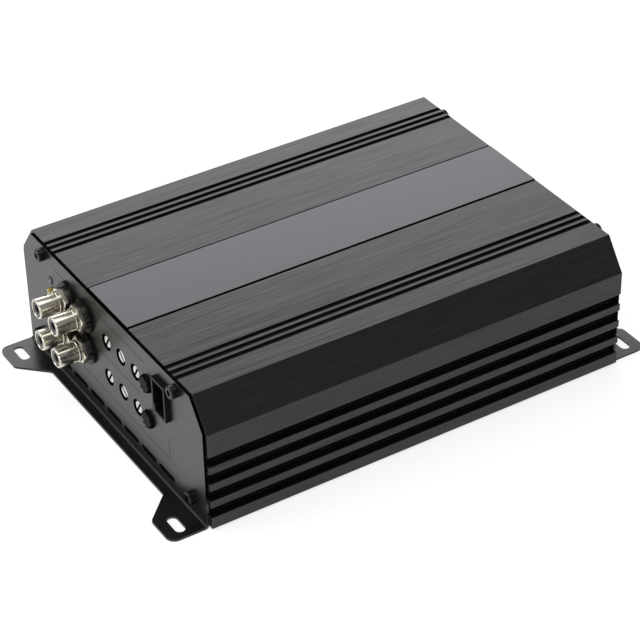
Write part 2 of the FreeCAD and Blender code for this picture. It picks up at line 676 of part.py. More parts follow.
def make_bottom_cover():
    b = body("bottom_cover")
    low = cover_seat - s.cover_thick
    sk = sketch(b, "bottom_cover_outline", "XY_Plane", (0, 0, low))
    x, y = cover_x - s.cover_gap, half_y - s.cover_gap
    rectangle(sk, -x, x, -y, y)
    pad(b, "bottom_cover_sheet", sk, s.cover_thick)
    sk = sketch(b, "bottom_cover_holes_outline", "XY_Plane")
    for x, y in cover_screws:
        circle(sk, x, y, s.screw_hole_d)
    pocket(b, "bottom_cover_holes", sk)
    doc.recompute()
    edges = rounds_at(b.Tip.Shape, low.number, s.screw_hole_d.number / 2)
    dress(b, "Chamfer", "bottom_cover_countersinks", edges, (s.sunk_hole_d - s.screw_hole_d) / 2)


def make_end_plate(label, side):
    """A bent end plate; side is -1 for the connector end and 1 for the far end."""
    b = body(label)
    gauge, inner = s.sheet_gauge, s.bend_radius
    outer = inner + gauge
    top = crown - s.plate_top_inset
    back, face = side * half_y, side * plate_face
    bend = (side * (plate_face + inner), outer)
    tip = side * (half_y + s.tab_reach)
    plate_x = half_x - s.plate_side_inset
    sk = sketch(b, label + "_profile", "YZ_Plane")
    outline(sk, [(back, top), (back, outer), (bend[0], 0), (tip, 0), (tip, gauge), (bend[0], gauge),
                 (face, outer), (face, top)],
            {1: (outer, bend), 5: (inner, bend)})
    pad(b, label + "_sheet", sk, 2 * plate_x, both=True)

    # upper corners follow the shoulders of the extrusion
    corner_x = half_x - s.shoulder_width - s.plate_corner_in
    corner_z = crown - s.shoulder_height - s.plate_corner_drop
    sk = sketch(b, label + "_corners_outline", "XZ_Plane")
    for w in (-1, 1):
        outline(sk, [(w * corner_x, top), (w * plate_x, top), (w * plate_x, corner_z)])
    pocket(b, label + "_corners", sk)

    # between the tabs the flange is narrow
    edge = side * (half_y + s.flange_reach)
    root_x, nose_x = half_x - s.tab_root_inset, half_x - s.tab_nose_inset
    sk = sketch(b, label + "_flange_outline", "XY_Plane")
    outline(sk, [(-root_x, edge), (root_x, edge), (nose_x, tip), (-nose_x, tip)])
    pocket(b, label + "_flange", sk)

    sk = sketch(b, label + "_slots_outline", "XY_Plane")
    for w in (-1, 1):
        slot(sk, w * (half_x - s.slot_inset), side * (half_y + s.slot_reach), s.slot_length, s.slot_width)
    pocket(b, label + "_slots", sk)

    sk = sketch(b, label + "_vents_outline", "XZ_Plane")
    count = int(s.vent_count.number)
    for k in range(count):
        slot(sk, (k - (count - 1) / 2) * s.vent_pitch, foot + s.vent_z, s.vent_length, s.vent_width)
    for x, z in plate_screws:
        circle(sk, x, z, s.screw_hole_d)
    gap = 2 * s.socket_gap
    if side < 0:
        for x, z in jacks:
            circle(sk, x, z, s.jack_thread_d + s.jack_hole_gap)
        for x, z in trimmers:
            circle(sk, x, z, s.trim_rotor_d + 2 * s.trim_hole_gap)
        for x, z in switches:
            circle(sk, x, z, s.mode_knob_d + 2 * s.mode_hole_gap)
        circle(sk, power_lamp[0], power_lamp[1], s.power_lamp_d + 2 * (2 * s.lamp_fit + s.bezel_wall))
        circle(sk, status_lamp[0], status_lamp[1], s.status_lamp_d + 2 * s.lamp_fit)
        block(sk, socket_x, foot + s.socket_z, s.socket_w + gap, s.socket_tall + gap)
    else:
        for x, width in ((s.power_x, s.power_w), (s.speaker_x, s.speaker_w)):
            block(sk, x, board_top + s.rear_tall / 2, width + gap, s.rear_tall + gap)
        block(sk, s.fuse_x, foot + s.fuse_z, s.fuse_w + 2 * s.holder_wall + 2 * s.holder_gap + gap,
              s.fuse_t + 2 * s.holder_wall + 2 * s.holder_gap + gap)
    pocket(b, label + "_openings", sk)

    doc.recompute()
    up = FreeCAD.Vector(0, 0, 1)
    for kind, radius, places in (("outer", s.tab_outer_radius, [(plate_x, tip)]),
                                 ("inner", s.tab_inner_radius, [(nose_x, tip), (root_x, edge)])):
        points = [FreeCAD.Vector(w * x.number, y.number, 0) for x, y in places for w in (-1, 1)]
        dress(b, "Fillet", "%s_%s_rounds" % (label, kind), edges_at(b.Tip.Shape, points, up), radius)
        doc.recompute()


# ---- fasteners

def cap_screw(b, name, x, z, side, length):
    """A socket-head screw along Y whose head stands on an end plate."""
    face, head = side * plate_face, side * (plate_face + s.cap_head_h)
    tip = side * (plate_face - length)
    r, edge = s.cap_head_d / 2, s.cap_edge
    sk = sketch(b, name + "_outline", "XY_Plane", (x, 0, z))
    outline(sk, [(0, tip), (s.screw_d / 2, tip), (s.screw_d / 2, face), (r, face), (r, head - side * edge),
                 (r - edge, head), (0, head)])
    spin(b, name + "_turned", sk)
    return head


def make_plate_screws(label, side):
    b = body(label)
    for k, (x, z) in enumerate(plate_screws):
        head = cap_screw(b, "%s_%d" % (label, k + 1), x, z, side, s.cap_length)
    sk = sketch(b, label + "_sockets_outline", "XZ_Plane", (0, 0, -head))
    for x, z in plate_screws:
        hexagon(sk, x, z, s.cap_hex)
    pocket(b, label + "_sockets", sk, s.cap_hex_depth, flip=side > 0)


def make_cover_screws():
    b = body("bottom_cover_screws")
    low = cover_seat - s.cover_thick
    r, shank = s.sunk_head_d / 2, s.screw_d / 2
    for k, (x, y) in enumerate(cover_screws):
        sk = sketch(b, "bottom_cover_screw_%d_outline" % (k + 1), "XZ_Plane", (x, 0, -y))
        outline(sk, [(0, low), (r, low), (shank, low + (r - shank)), (shank, low + s.sunk_length),
                     (0, low + s.sunk_length)])
        spin(b, "bottom_cover_screw_%d" % (k + 1), sk)
    sk = sketch(b, "bottom_cover_screw_sockets_outline", "XY_Plane", (0, 0, low))
    for x, y in cover_screws:
        hexagon(sk, x, y, s.sunk_hex)
    pocket(b, "bottom_cover_screw_sockets", sk, s.sunk_hex_depth, flip=True)


def make_board_screws():
    b = body("board_screws")
    r, shank = s.cap_head_d / 2, s.screw_d / 2
    tip, crest = board_top - s.board_screw_length, board_top + s.pan_head_h
    for k, (x, y) in enumerate(board_screws):
        sk = sketch(b, "board_screw_%d_outline" % (k + 1), "XZ_Plane", (x, 0, -y))
        outline(sk, [(0, tip), (shank, tip), (shank, board_top), (r, board_top), (r, crest - s.cap_edge),
                     (r - s.cap_edge, crest), (0, crest)])
        spin(b, "board_screw_%d" % (k + 1), sk)
    sk = sketch(b, "board_screw_sockets_outline", "XY_Plane", (0, 0, crest))
    for x, y in board_screws:
        hexagon(sk, x, y, s.cap_hex)
    pocket(b, "board_screw_sockets", sk, s.pan_hex_depth)


def make_clamp_screws():
    b = body("clamp_screws")
    r, shank = s.cap_head_d / 2, s.screw_d / 2
    for side, name in ((-1, "left"), (1, "right")):
        head, tip = side * (bar_x - s.pan_head_h), side * (inner_x + s.clamp_tap)
        for k, y in enumerate(clamp_rows()):
            sk = sketch(b, "clamp_screw_%s_%d_outline" % (name, k + 1), "XY_Plane", (0, y, foot + s.clamp_z))
            seat = side * bar_x
            outline(sk, [(head, 0), (head, r), (seat, r), (seat, shank), (tip, shank), (tip, 0)])
            spin(b, "clamp_screw_%s_%d" % (name, k + 1), sk, "H_Axis")


def make_jack_nuts():
    b = body("rca_nuts")
    back = plate_face + s.jack_washer_h + s.jack_lock_h
    front = back + s.jack_nut_h
    sk = sketch(b, "rca_nuts_outline", "XZ_Plane", (0, 0, back))
    for (x, z), turn in zip(jacks, jack_nut_turns):
        hexagon(sk, x, z, s.jack_nut_flats, turn)
        circle(sk, x, z, s.jack_thread_d)
    pad(b, "rca_nuts_flats", sk, s.jack_nut_h)
    flat, corner = s.jack_nut_flats / 2, s.jack_nut_flats / math.sqrt(3)
    for k, (x, z) in enumerate(jacks):
        sk = sketch(b, "rca_nut_%d_bevel_outline" % (k + 1), "XY_Plane", (x, 0, z))
        outline(sk, [(flat, -front), (corner, -front), (corner, s.jack_nut_bevel - front)])
        spin(b, "rca_nut_%d_bevel" % (k + 1), sk, cut=True)


def make_jack_washers():
    b = body("rca_washers")
    sk = sketch(b, "rca_washers_outline", "XZ_Plane", (0, 0, plate_face))
    for x, z in jacks:
        circle(sk, x, z, s.jack_washer_d)
        circle(sk, x, z, s.jack_thread_d)
    pad(b, "rca_washers_discs", sk, s.jack_washer_h)
    b = body("rca_lock_washers")
    sk = sketch(b, "rca_lock_washers_outline", "XZ_Plane", (0, 0, plate_face + s.jack_washer_h))
    for x, z in jacks:
        circle(sk, x, z, s.jack_lock_d)
        circle(sk, x, z, s.jack_thread_d)
    pad(b, "rca_lock_washers_rings", sk, s.jack_lock_h)
    sk = sketch(b, "rca_lock_washers_split_outline", "XZ_Plane", (0, 0, plate_face + s.jack_washer_h))
    for x, z in jacks:
        rectangle(sk, x, x + s.jack_lock_d, z - s.jack_lock_split / 2, z + s.jack_lock_split / 2)
    pocket(b, "rca_lock_washers_split", sk)


# ---- line-input jacks

def make_jack_shell(label, x, z):
    b = body(label)
    face = -(half_y + s.jack_reach)
    bore, r, lip = s.jack_bore_d / 2, s.jack_d / 2, s.jack_lip
    collar, thread, flange = s.jack_collar_d / 2, s.jack_thread_d / 2, s.jack_flange_d / 2
    collar_y = face + s.jack_barrel
    back = -half_y
    sk = sketch(b, label + "_outline", "XY_Plane", (x, 0, z))
    outline(sk, [(bore, face), (r - lip, face), (r, face + lip), (r, collar_y), (collar, collar_y),
                 (collar, collar_y + s.jack_collar_h), (thread, collar_y + s.jack_collar_h), (thread, back),
                 (flange, back), (flange, back + s.jack_flange_h), (thread, back + s.jack_flange_h),
                 (thread, -control_front), (bore, -control_front)],
            {1: (lip, (r - lip, face + lip))})
    spin(b, label + "_turned", sk)


def make_jack_cores():
    b = body("rca_insulators")
    for k, (x, z) in enumerate(jacks):
        sk = sketch(b, "rca_insulator_%d_outline" % (k + 1), "XY_Plane", (x, 0, z))
        front = s.jack_core_set - half_y - s.jack_reach
        rectangle(sk, s.jack_core_d / 2, s.jack_bore_d / 2, front, -control_front)
        spin(b, "rca_insulator_%d" % (k + 1), sk)


def make_jack_contacts():
    b = body("rca_contacts")
    for k, (x, z) in enumerate(jacks):
        sk = sketch(b, "rca_contact_%d_outline" % (k + 1), "XY_Plane", (x, 0, z))
        front, tail = s.jack_pin_set - half_y - s.jack_reach, s.jack_pin_tail - control_back
        bore, r = s.jack_pin_bore_d / 2, s.jack_core_d / 2
        floor = front + s.jack_pin_depth
        outline(sk, [(bore, front), (r, front), (r, tail), (0, tail), (0, floor), (bore, floor)])
        spin(b, "rca_contact_%d" % (k + 1), sk)


# ---- trimmers and mode switches: a body on the control board, a rotor or knob in it

def make_turn_body(label, x, z, across, rotor_face, rotor_h, well_d):
    """The fixed body on the control board; its well and bore follow the piece that turns in it."""
    front = -(control_front + s.trim_body_h)
    well_floor = -rotor_face + rotor_h + s.end_float
    b = body(label)
    sk = sketch(b, label + "_outline", "XZ_Plane", (0, 0, control_front))
    block(sk, x, z, across, across)
    pad(b, label + "_case", sk, s.trim_body_h)
    sk = sketch(b, label + "_bore_outline", "XY_Plane", (x, 0, z))
    bore = s.trim_shaft_d / 2 + s.turn_fit
    well = well_d / 2 + s.trim_well_gap
    outline(sk, [(0, front), (well, front), (well, well_floor), (bore, well_floor), (bore, -control_front),
                 (0, -control_front)])
    spin(b, label + "_bore", sk, cut=True)


def make_trim_rotor(label, x, z, turn):
    """A rotor whose slot is turned clockwise from upright, seen from the front."""
    face = -(plate_face - s.trim_rotor_set)
    back = face + s.trim_rotor_h
    r, shaft = s.trim_rotor_d / 2, s.trim_shaft_d / 2
    b = body(label, (x, 0, z))
    sk = sketch(b, label + "_outline", "XY_Plane")
    outline(sk, [(0, face), (r - s.cap_edge, face), (r, face + s.cap_edge), (r, back), (shaft, back),
                 (shaft, -control_front - s.end_float), (0, -control_front - s.end_float)])
    spin(b, label + "_turned", sk)
    sk = sketch(b, label + "_slot_outline", "XZ_Plane", (0, 0, -face))
    turned_bar(sk, turn, -s.trim_rotor_d / 2 - s.cap_edge, s.trim_rotor_d / 2 + s.cap_edge, s.trim_slot_w)
    pocket(b, label + "_slot", sk, s.trim_slot_h)


def make_mode_knob(label, x, z, turn):
    face = -(plate_face + s.mode_knob_reach)
    back = face + s.mode_knob_h
    shaft = s.trim_shaft_d / 2
    b = body(label, (x, 0, z))
    sk = sketch(b, label + "_shaft_outline", "XY_Plane")
    outline(sk, [(0, back - s.cap_edge), (shaft, back - s.cap_edge), (shaft, -control_front - s.end_float),
                 (0, -control_front - s.end_float)])
    spin(b, label + "_shaft", sk)
    sk = sketch(b, label + "_teeth_outline", "XZ_Plane", (0, 0, -back))
    teeth = int(s.mode_teeth.number)
    step = 2 * math.pi / teeth
    points = []
    for k in range(teeth):
        for share, size in ((-TOOTH_ROOT, s.mode_knob_root_d), (-TOOTH_TIP, s.mode_knob_d),
                            (TOOTH_TIP, s.mode_knob_d), (TOOTH_ROOT, s.mode_knob_root_d)):
            a = (k + share) * step
            points.append((size / 2 * math.cos(a), size / 2 * math.sin(a)))
    outline(sk, points)
    pad(b, label + "_teeth", sk, s.mode_knob_h)
    sk = sketch(b, label + "_pointer_outline", "XZ_Plane", (0, 0, -face))
    turned_bar(sk, turn, s.mode_mark_near, s.mode_knob_root_d / 2 + s.cap_edge, s.mode_mark_w)
    pocket(b, label + "_pointer", sk, s.mode_mark_h)


# ---- indicators and signal socket

def make_lamp(label, at, diameter, reach, round_):
    b = body(label)
    r, tip = diameter / 2, -(plate_face + reach)
    rim, back = r + s.lamp_rim, -(half_y - s.lamp_base)
    sk = sketch(b, label + "_outline", "XY_Plane", (at[0], 0, at[1]))
    outline(sk, [(0, tip), (r - round_, tip), (r, tip + round_), (r, -half_y), (rim, -half_y),
                 (rim, back), (0, back)],
            {1: (round_, (r - round_, tip + round_))})
    spin(b, label + "_lens", sk)
    for w, side in ((-1, "left"), (1, "right")):
        name = "%s_%s_lead" % (label, side)
        sk = sketch(b, name + "_outline", "XZ_Plane", (0, 0, -back))
        block(sk, at[0] + w * s.lead_pitch / 2, at[1], s.lead_w, s.lead_w)
        pad(b, name, sk, -control_front - back, flip=True)


def make_lamps():
    make_lamp("power_led", power_lamp, s.power_lamp_d, s.power_lamp_reach, s.power_lamp_round)
    make_lamp("status_led", status_lamp, s.status_lamp_d, s.status_lamp_reach, s.status_lamp_round)
    b = body("power_led_bezel")
    sk = sketch(b, "power_led_bezel_outline", "XY_Plane", (power_lamp[0], 0, power_lamp[1]))
    inner = s.power_lamp_d / 2 + s.lamp_fit
    wall = inner + s.bezel_wall
    rim, front = wall + s.bezel_rim, -(plate_face + s.bezel_h)
    outline(sk, [(inner, front), (rim - s.bezel_edge, front), (rim, front + s.bezel_edge),
                 (rim, -plate_face),
                 (wall, -plate_face), (wall, -half_y), (inner, -half_y)])
    spin(b, "power_led_bezel_turned", sk)


def pin_grid(pitch_x, pitch_z, columns, rows):
    across, up = int(columns.number), int(rows.number)
    return [((i - (across - 1) / 2) * pitch_x, (j - (up - 1) / 2) * pitch_z)
            for i in range(across) for j in range(up)]


def make_signal_socket():
    cx, cz = socket_x, foot + s.socket_z
    front = plate_face + s.socket_reach
    floor = control_front + s.socket_floor
    pins = [(cx + dx, cz + dz)
            for dx, dz in pin_grid(s.pin_pitch_x, s.pin_pitch_z, s.pin_columns, s.pin_rows)]
    b = body("signal_socket_housing")
    sk = sketch(b, "signal_socket_outline", "XZ_Plane", (0, 0, control_front))
    block(sk, cx, cz, s.socket_w, s.socket_tall)
    pad(b, "signal_socket_shell", sk, front - control_front)
    in_x, in_z = s.socket_w / 2 - s.socket_wall, s.socket_tall / 2 - s.socket_wall
    sk = sketch(b, "signal_socket_mouth_outline", "XZ_Plane", (0, 0, front))
    outline(sk, [(cx - in_x + s.socket_key_w, cz - in_z), (cx + in_x, cz - in_z), (cx + in_x, cz + in_z),
                 (cx - in_x, cz + in_z), (cx - in_x, cz - in_z + s.socket_key_h),
                 (cx - in_x + s.socket_key_w, cz - in_z + s.socket_key_h)])
    pocket(b, "signal_socket_mouth", sk, front - floor)
    sk = sketch(b, "signal_socket_pin_holes_outline", "XZ_Plane", (0, 0, floor))
    for x, z in pins:
        block(sk, x, z, s.pin_w + 2 * s.pin_gap, s.pin_w + 2 * s.pin_gap)
    pocket(b, "signal_socket_pin_holes", sk, s.socket_floor)
    b = body("signal_socket_pins")
    sk = sketch(b, "signal_socket_pins_outline", "XZ_Plane", (0, 0, control_front))
    for x, z in pins:
        block(sk, x, z, s.pin_w, s.pin_w)
    pad(b, "signal_socket_pins_rods", sk, s.socket_floor + s.pin_rise)


# ---- boards

def make_control_board():
    b = body("control_board")
    half = inner_x - s.control_side_gap
    sk = sketch(b, "control_board_outline", "XZ_Plane", (0, 0, control_back))
    rectangle(sk, -half, half, board_top, roof - s.control_top_gap)
    pad(b, "control_board_sheet", sk, s.board_thick)
    sk = sketch(b, "control_board_holes_outline", "XZ_Plane")
    for x, z in jacks:
        circle(sk, x, z, s.jack_core_d + 2 * s.turn_fit)
    pocket(b, "control_board_holes", sk)


def make_main_board():
    b = body("main_board")
    x, y = inner_x - s.board_gap, half_y - s.board_end_gap
    sk = sketch(b, "main_board_outline", "XY_Plane", (0, 0, board_low))
    rectangle(sk, -x, x, -y, y)
    pad(b, "main_board_sheet", sk, s.board_thick)
    sk = sketch(b, "main_board_holes_outline", "XY_Plane")
    for x, y in board_screws:
        circle(sk, x, y, s.screw_hole_d)
    pocket(b, "main_board_holes", sk)


def make_link_header():
    b = body("board_link_header")
    sk = sketch(b, "board_link_header_outline", "YZ_Plane")
    back = -control_back
    rectangle(sk, back, back + s.header_w, board_top, board_top + s.header_w)
    pad(b, "board_link_header_bar", sk, 2 * s.header_half, both=True)


# ---- rear sockets and fuse

def rear_pins(x, width):
    count = int((width.number - 2 * s.rear_wall.number) // s.rear_pin_pitch.number)
    return [x + (k - (count - 1) / 2) * s.rear_pin_pitch for k in range(count)]


def make_rear_sockets():
    front = plate_face + s.rear_reach
    back = front - s.rear_deep
    floor = back + s.rear_floor
    rows = [board_top + s.rear_pin_low, board_top + s.rear_pin_low + s.rear_pin_step]
    hole = s.rear_pin_w + 2 * s.pin_gap
    for label, x, width in (("power_socket_housing", s.power_x, s.power_w),
                            ("speaker_socket_housing", s.speaker_x, s.speaker_w)):
        b = body(label)
        sk = sketch(b, label + "_outline", "XZ_Plane", (0, 0, -back))
        rectangle(sk, x - width / 2, x + width / 2, board_top, board_top + s.rear_tall)
        pad(b, label + "_shell", sk, s.rear_deep, flip=True)
        sk = sketch(b, label + "_mouth_outline", "XZ_Plane", (0, 0, -front))
        rectangle(sk, x - width / 2 + s.rear_wall, x + width / 2 - s.rear_wall,
                  board_top + s.rear_wall, board_top + s.rear_tall - s.rear_wall)
        pocket(b, label + "_mouth", sk, front - floor, flip=True)
        sk = sketch(b, label + "_pin_holes_outline", "XZ_Plane", (0, 0, -floor))
        for px in rear_pins(x, width):
            for z in rows:
                block(sk, px, z, hole, hole)
        pocket(b, label + "_pin_holes", sk, s.rear_floor, flip=True)
    b = body("rear_socket_pins")
    w = s.rear_pin_w
    tip = floor + s.rear_pin_rise
    for row, z in enumerate(rows):
        leg = back - s.rear_leg_back - row * s.rear_leg_step
        for px in rear_pins(s.power_x, s.power_w) + rear_pins(s.speaker_x, s.speaker_w):
            name = "rear_pin_%d_%d" % (row + 1, len(b.Group))
            sk = sketch(b, name + "_outline", "YZ_Plane", (0, 0, px))
            outline(sk, [(leg - w, board_top), (leg, board_top), (leg, z - w / 2), (tip, z - w / 2),
                         (tip, z + w / 2), (leg - w, z + w / 2)])
            pad(b, name, sk, w, both=True)


def make_fuse():
    cx, cz = s.fuse_x, foot + s.fuse_z
    top = plate_face + s.fuse_reach
    seat = top - s.fuse_body
    blade_tip = seat - s.fuse_blade_h
    back = blade_tip - s.holder_wall
    gap, wall = s.holder_gap, s.holder_wall
    b = body("fuse_holder")
    sk = sketch(b, "fuse_holder_outline", "XZ_Plane", (0, 0, -back))
    block(sk, cx, cz, s.fuse_w + 2 * (gap + wall), s.fuse_t + 2 * (gap + wall))
    pad(b, "fuse_holder_shell", sk, plate_face - back, flip=True)
    sk = sketch(b, "fuse_holder_rim_outline", "XZ_Plane", (0, 0, -plate_face))
    block(sk, cx, cz, s.fuse_w + 2 * (gap + wall + s.holder_rim), s.fuse_t + 2 * (gap + wall + s.holder_rim))
    pad(b, "fuse_holder_rim_plate", sk, s.holder_rim_h, flip=True)
    sk = sketch(b, "fuse_holder_mouth_outline", "XZ_Plane", (0, 0, -(plate_face + s.holder_rim_h)))
    block(sk, cx, cz, s.fuse_w + 2 * gap, s.fuse_t + 2 * gap)
    pocket(b, "fuse_holder_mouth", sk, plate_face + s.holder_rim_h - seat, flip=True)
    blade_x = (s.fuse_w - s.fuse_blade_w) / 2
    sk = sketch(b, "fuse_holder_blade_slots_outline", "XZ_Plane", (0, 0, -seat))
    for w in (-1, 1):
        block(sk, cx + w * blade_x, cz, s.fuse_blade_w + 2 * gap, s.fuse_blade_t + 2 * gap)
    pocket(b, "fuse_holder_blade_slots", sk, s.fuse_blade_h, flip=True)
    b = body("fuse")
    sk = sketch(b, "fuse_outline", "XZ_Plane", (0, 0, -seat))
    block(sk, cx, cz, s.fuse_w, s.fuse_t)
    pad(b, "fuse_case", sk, s.fuse_body, flip=True)
    sk = sketch(b, "fuse_blades_outline", "XZ_Plane", (0, 0, -seat))
    for w in (-1, 1):
        block(sk, cx + w * blade_x, cz, s.fuse_blade_w, s.fuse_blade_t)
    pad(b, "fuse_blades", sk, s.fuse_blade_h)


# ---- heat path along the side walls

def device_rows():
    return [(k - (device_count - 1) / 2) * s.device_pitch for k in range(device_count)]


def make_transistors():
    b = body("power_transistors")
    z0 = foot + s.device_z
    for side, name in ((-1, "left"), (1, "right")):
        sk = sketch(b, "transistors_%s_outline" % name, "XY_Plane", (0, 0, z0))
        for y in device_rows():
            rectangle(sk, side * device_x, side * pad_x, y - s.device_w / 2, y + s.device_w / 2)
        pad(b, "transistors_%s_cases" % name, sk, s.device_h)
        sk = sketch(b, "transistors_%s_tabs_outline" % name, "XY_Plane", (0, 0, z0 + s.device_h))
        for y in device_rows():
            rectangle(sk, side * (pad_x - s.device_tab_t), side * pad_x,
                      y - s.device_w / 2, y + s.device_w / 2)
        pad(b, "transistors_%s_tabs" % name, sk, s.device_tab_h)
        middle = side * (device_x + s.device_t / 2)
        sk = sketch(b, "transistors_%s_legs_outline" % name, "XY_Plane", (0, 0, z0))
        for y in device_rows():
            for k in (-1, 0, 1):
                block(sk, middle, y + k * s.device_leg_pitch, s.device_leg_t, s.device_leg_w)
        pad(b, "transistors_%s_legs" % name, sk, z0 - board_top, flip=True)
    sk = sketch(b, "transistor_tab_holes_outline", "YZ_Plane")
    for y in device_rows():
        circle(sk, y, z0 + s.device_h + s.device_tab_h / 2, s.screw_hole_d)
    pocket(b, "transistor_tab_holes", sk)


def make_strips():
    """Thermal pads against the walls and the bars that press the transistors on them."""
    b = body("thermal_pads")
    for side, name in ((-1, "left"), (1, "right")):
        sk = sketch(b, "thermal_pad_%s_outline" % name, "YZ_Plane", (0, 0, side * pad_x))
        rectangle(sk, -s.strip_length / 2, s.strip_length / 2, foot + s.pad_z, foot + s.pad_z + s.pad_tall)
        pad(b, "thermal_pad_%s" % name, sk, s.pad_thick, flip=side < 0)
    sk = sketch(b, "thermal_pad_holes_outline", "YZ_Plane")
    for y in clamp_rows():
        circle(sk, y, foot + s.clamp_z, s.screw_hole_d)
    pocket(b, "thermal_pad_holes", sk)
    b = body("clamp_bars")
    for side, name in ((-1, "left"), (1, "right")):
        sk = sketch(b, "clamp_bar_%s_outline" % name, "YZ_Plane", (0, 0, side * bar_x))
        z = foot + s.clamp_z
        rectangle(sk, -s.strip_length / 2, s.strip_length / 2, z - s.bar_tall / 2, z + s.bar_tall / 2)
        pad(b, "clamp_bar_%s" % name, sk, s.bar_thick, flip=side < 0)
    sk = sketch(b, "clamp_bar_holes_outline", "YZ_Plane")
    for y in clamp_rows():
        circle(sk, y, foot + s.clamp_z, s.screw_hole_d)
    pocket(b, "clamp_bar_holes", sk)


# ---- supply and filter parts on the main board

def make_toroid():
    low = board_top + s.wire_d + s.wire_gap
    b = body("toroid_core", (s.toroid_x, s.toroid_y, 0))
    sk = sketch(b, "toroid_core_outline", "XZ_Plane")
    rectangle(sk, s.toroid_bore_d / 2, s.toroid_d / 2, low, low + s.toroid_tall)
    spin(b, "toroid_core_ring", sk)
    b = body("toroid_winding", (s.toroid_x, s.toroid_y, 0))
    sk = sketch(b, "toroid_turn_outline", "XZ_Plane")
    for reach in (s.wire_gap + s.wire_d, s.wire_gap):
        rectangle(sk, s.toroid_bore_d / 2 - reach, s.toroid_d / 2 + reach,
                  low - reach, low + s.toroid_tall + reach)
    turn = pad(b, "toroid_turn", sk, s.wire_d, both=True)
    b.Tip = turn
    doc.recompute()
    turns = b.newObject("PartDesign::PolarPattern", "toroid_turns")
    turns.Originals = [turn]
    turns.Axis = ([f for f in b.Origin.OriginFeatures if f.Role == "Z_Axis"][0], [""])
    turns.Angle = 360
    turns.setExpression("Occurrences", s.turn_count.text)
    b.Tip = turns


def make_round_parts():
    groove = s.cap_roll
    for label, y in (("rail_capacitor_rear", s.cap_y), ("rail_capacitor_front", s.cap_y - s.cap_pitch)):
        b = body(label, (s.cap_x, y, 0))
        r, low = s.cap_d / 2, board_top
        high = low + s.cap_tall
        neck = low + s.cap_neck
        sk = sketch(b, label + "_outline", "XZ_Plane")
        outline(sk, [(0, low), (r - groove, low), (r, low + groove), (r, neck), (r - groove, neck + groove),
                     (r, neck + 2 * groove), (r, high - groove), (r - groove, high), (0, high)])
        spin(b, label + "_can", sk)
    for label, side in (("output_choke_left", -1), ("output_choke_right", 1)):
        b = body(label, (side * s.choke_x, s.choke_y, 0))
        r, core, low = s.choke_d / 2, s.choke_core_d / 2, board_top
        high = low + s.choke_tall
        sk = sketch(b, label + "_outline", "XZ_Plane")
        outline(sk, [(0, low), (r, low), (r, low + s.choke_flange), (core, low + s.choke_flange),
                     (core, high - s.choke_flange), (r, high - s.choke_flange), (r, high), (0, high)])
        spin(b, label + "_drum", sk)


def make_chips():
    b = body("driver_chips")
    places = [(k - (chip_count - 1) / 2) * s.chip_pitch for k in range(chip_count)]
    sk = sketch(b, "driver_chips_outline", "XY_Plane", (0, 0, board_top))
    for x in places:
        block(sk, x, s.chip_y, s.chip_w, s.chip_d)
    pad(b, "driver_chips_cases", sk, s.chip_h)
    sk = sketch(b, "driver_chip_legs_outline", "XY_Plane", (0, 0, board_top))
    for x in places:
        block(sk, x, s.chip_y, s.chip_leg_span, s.chip_d + 2 * s.chip_leg)
    pad(b, "driver_chip_legs", sk, s.chip_leg_h)


make_heatsink()
make_centre_panel()
make_bottom_cover()
make_end_plate("front_end_plate", -1)
make_end_plate("rear_end_plate", 1)
make_plate_screws("front_plate_screws", -1)
make_plate_screws("rear_plate_screws", 1)
make_cover_screws()
make_board_screws()
make_clamp_screws()
make_jack_nuts()
make_jack_washers()
for k, (x, z) in enumerate(jacks):
    make_jack_shell("rca_shell_%d" % (k + 1), x, z)
make_jack_cores()
make_jack_contacts()
for k, ((x, z), turn) in enumerate(zip(trimmers, trimmer_turns)):
    make_turn_body("trim_pot_body_%d" % (k + 1), x, z, trim_body, plate_face - s.trim_rotor_set,
                   s.trim_rotor_h, s.trim_rotor_d)
    make_trim_rotor("trim_pot_rotor_%d" % (k + 1), x, z, turn)
for k, ((x, z), turn) in enumerate(zip(switches, switch_turns)):
    make_turn_body("mode_switch_body_%d" % (k + 1), x, z, mode_body, plate_face + s.mode_knob_reach,
                   s.mode_knob_h, s.mode_knob_d)
    make_mode_knob("mode_switch_knob_%d" % (k + 1), x, z, turn)
make_lamps()
make_signal_socket()
make_control_board()
make_main_board()
make_link_header()
make_rear_sockets()
make_fuse()
make_transistors()
make_strips()
make_toroid()
make_round_parts()
make_chips()
doc.recompute()

broken = [obj.Name for obj in doc.Objects if "Invalid" in obj.State or "Error" in obj.State]
if broken:
    raise RuntimeError("not built: " + ", ".join(broken))
os.makedirs("parts", exist_ok=True)
for b in made:
    if b.Shape.isNull() or not b.Shape.isValid() or not b.Shape.Solids:
        raise RuntimeError("%s has no valid shape" % b.Label)
    b.Shape.exportStep("parts/%s.step" % b.Label)
    print("%-24s %3d solid(s) %12.2f mm3" % (b.Label, len(b.Shape.Solids), b.Shape.Volume))
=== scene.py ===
import json
import math

import bpy
from mathutils import Matrix, Vector


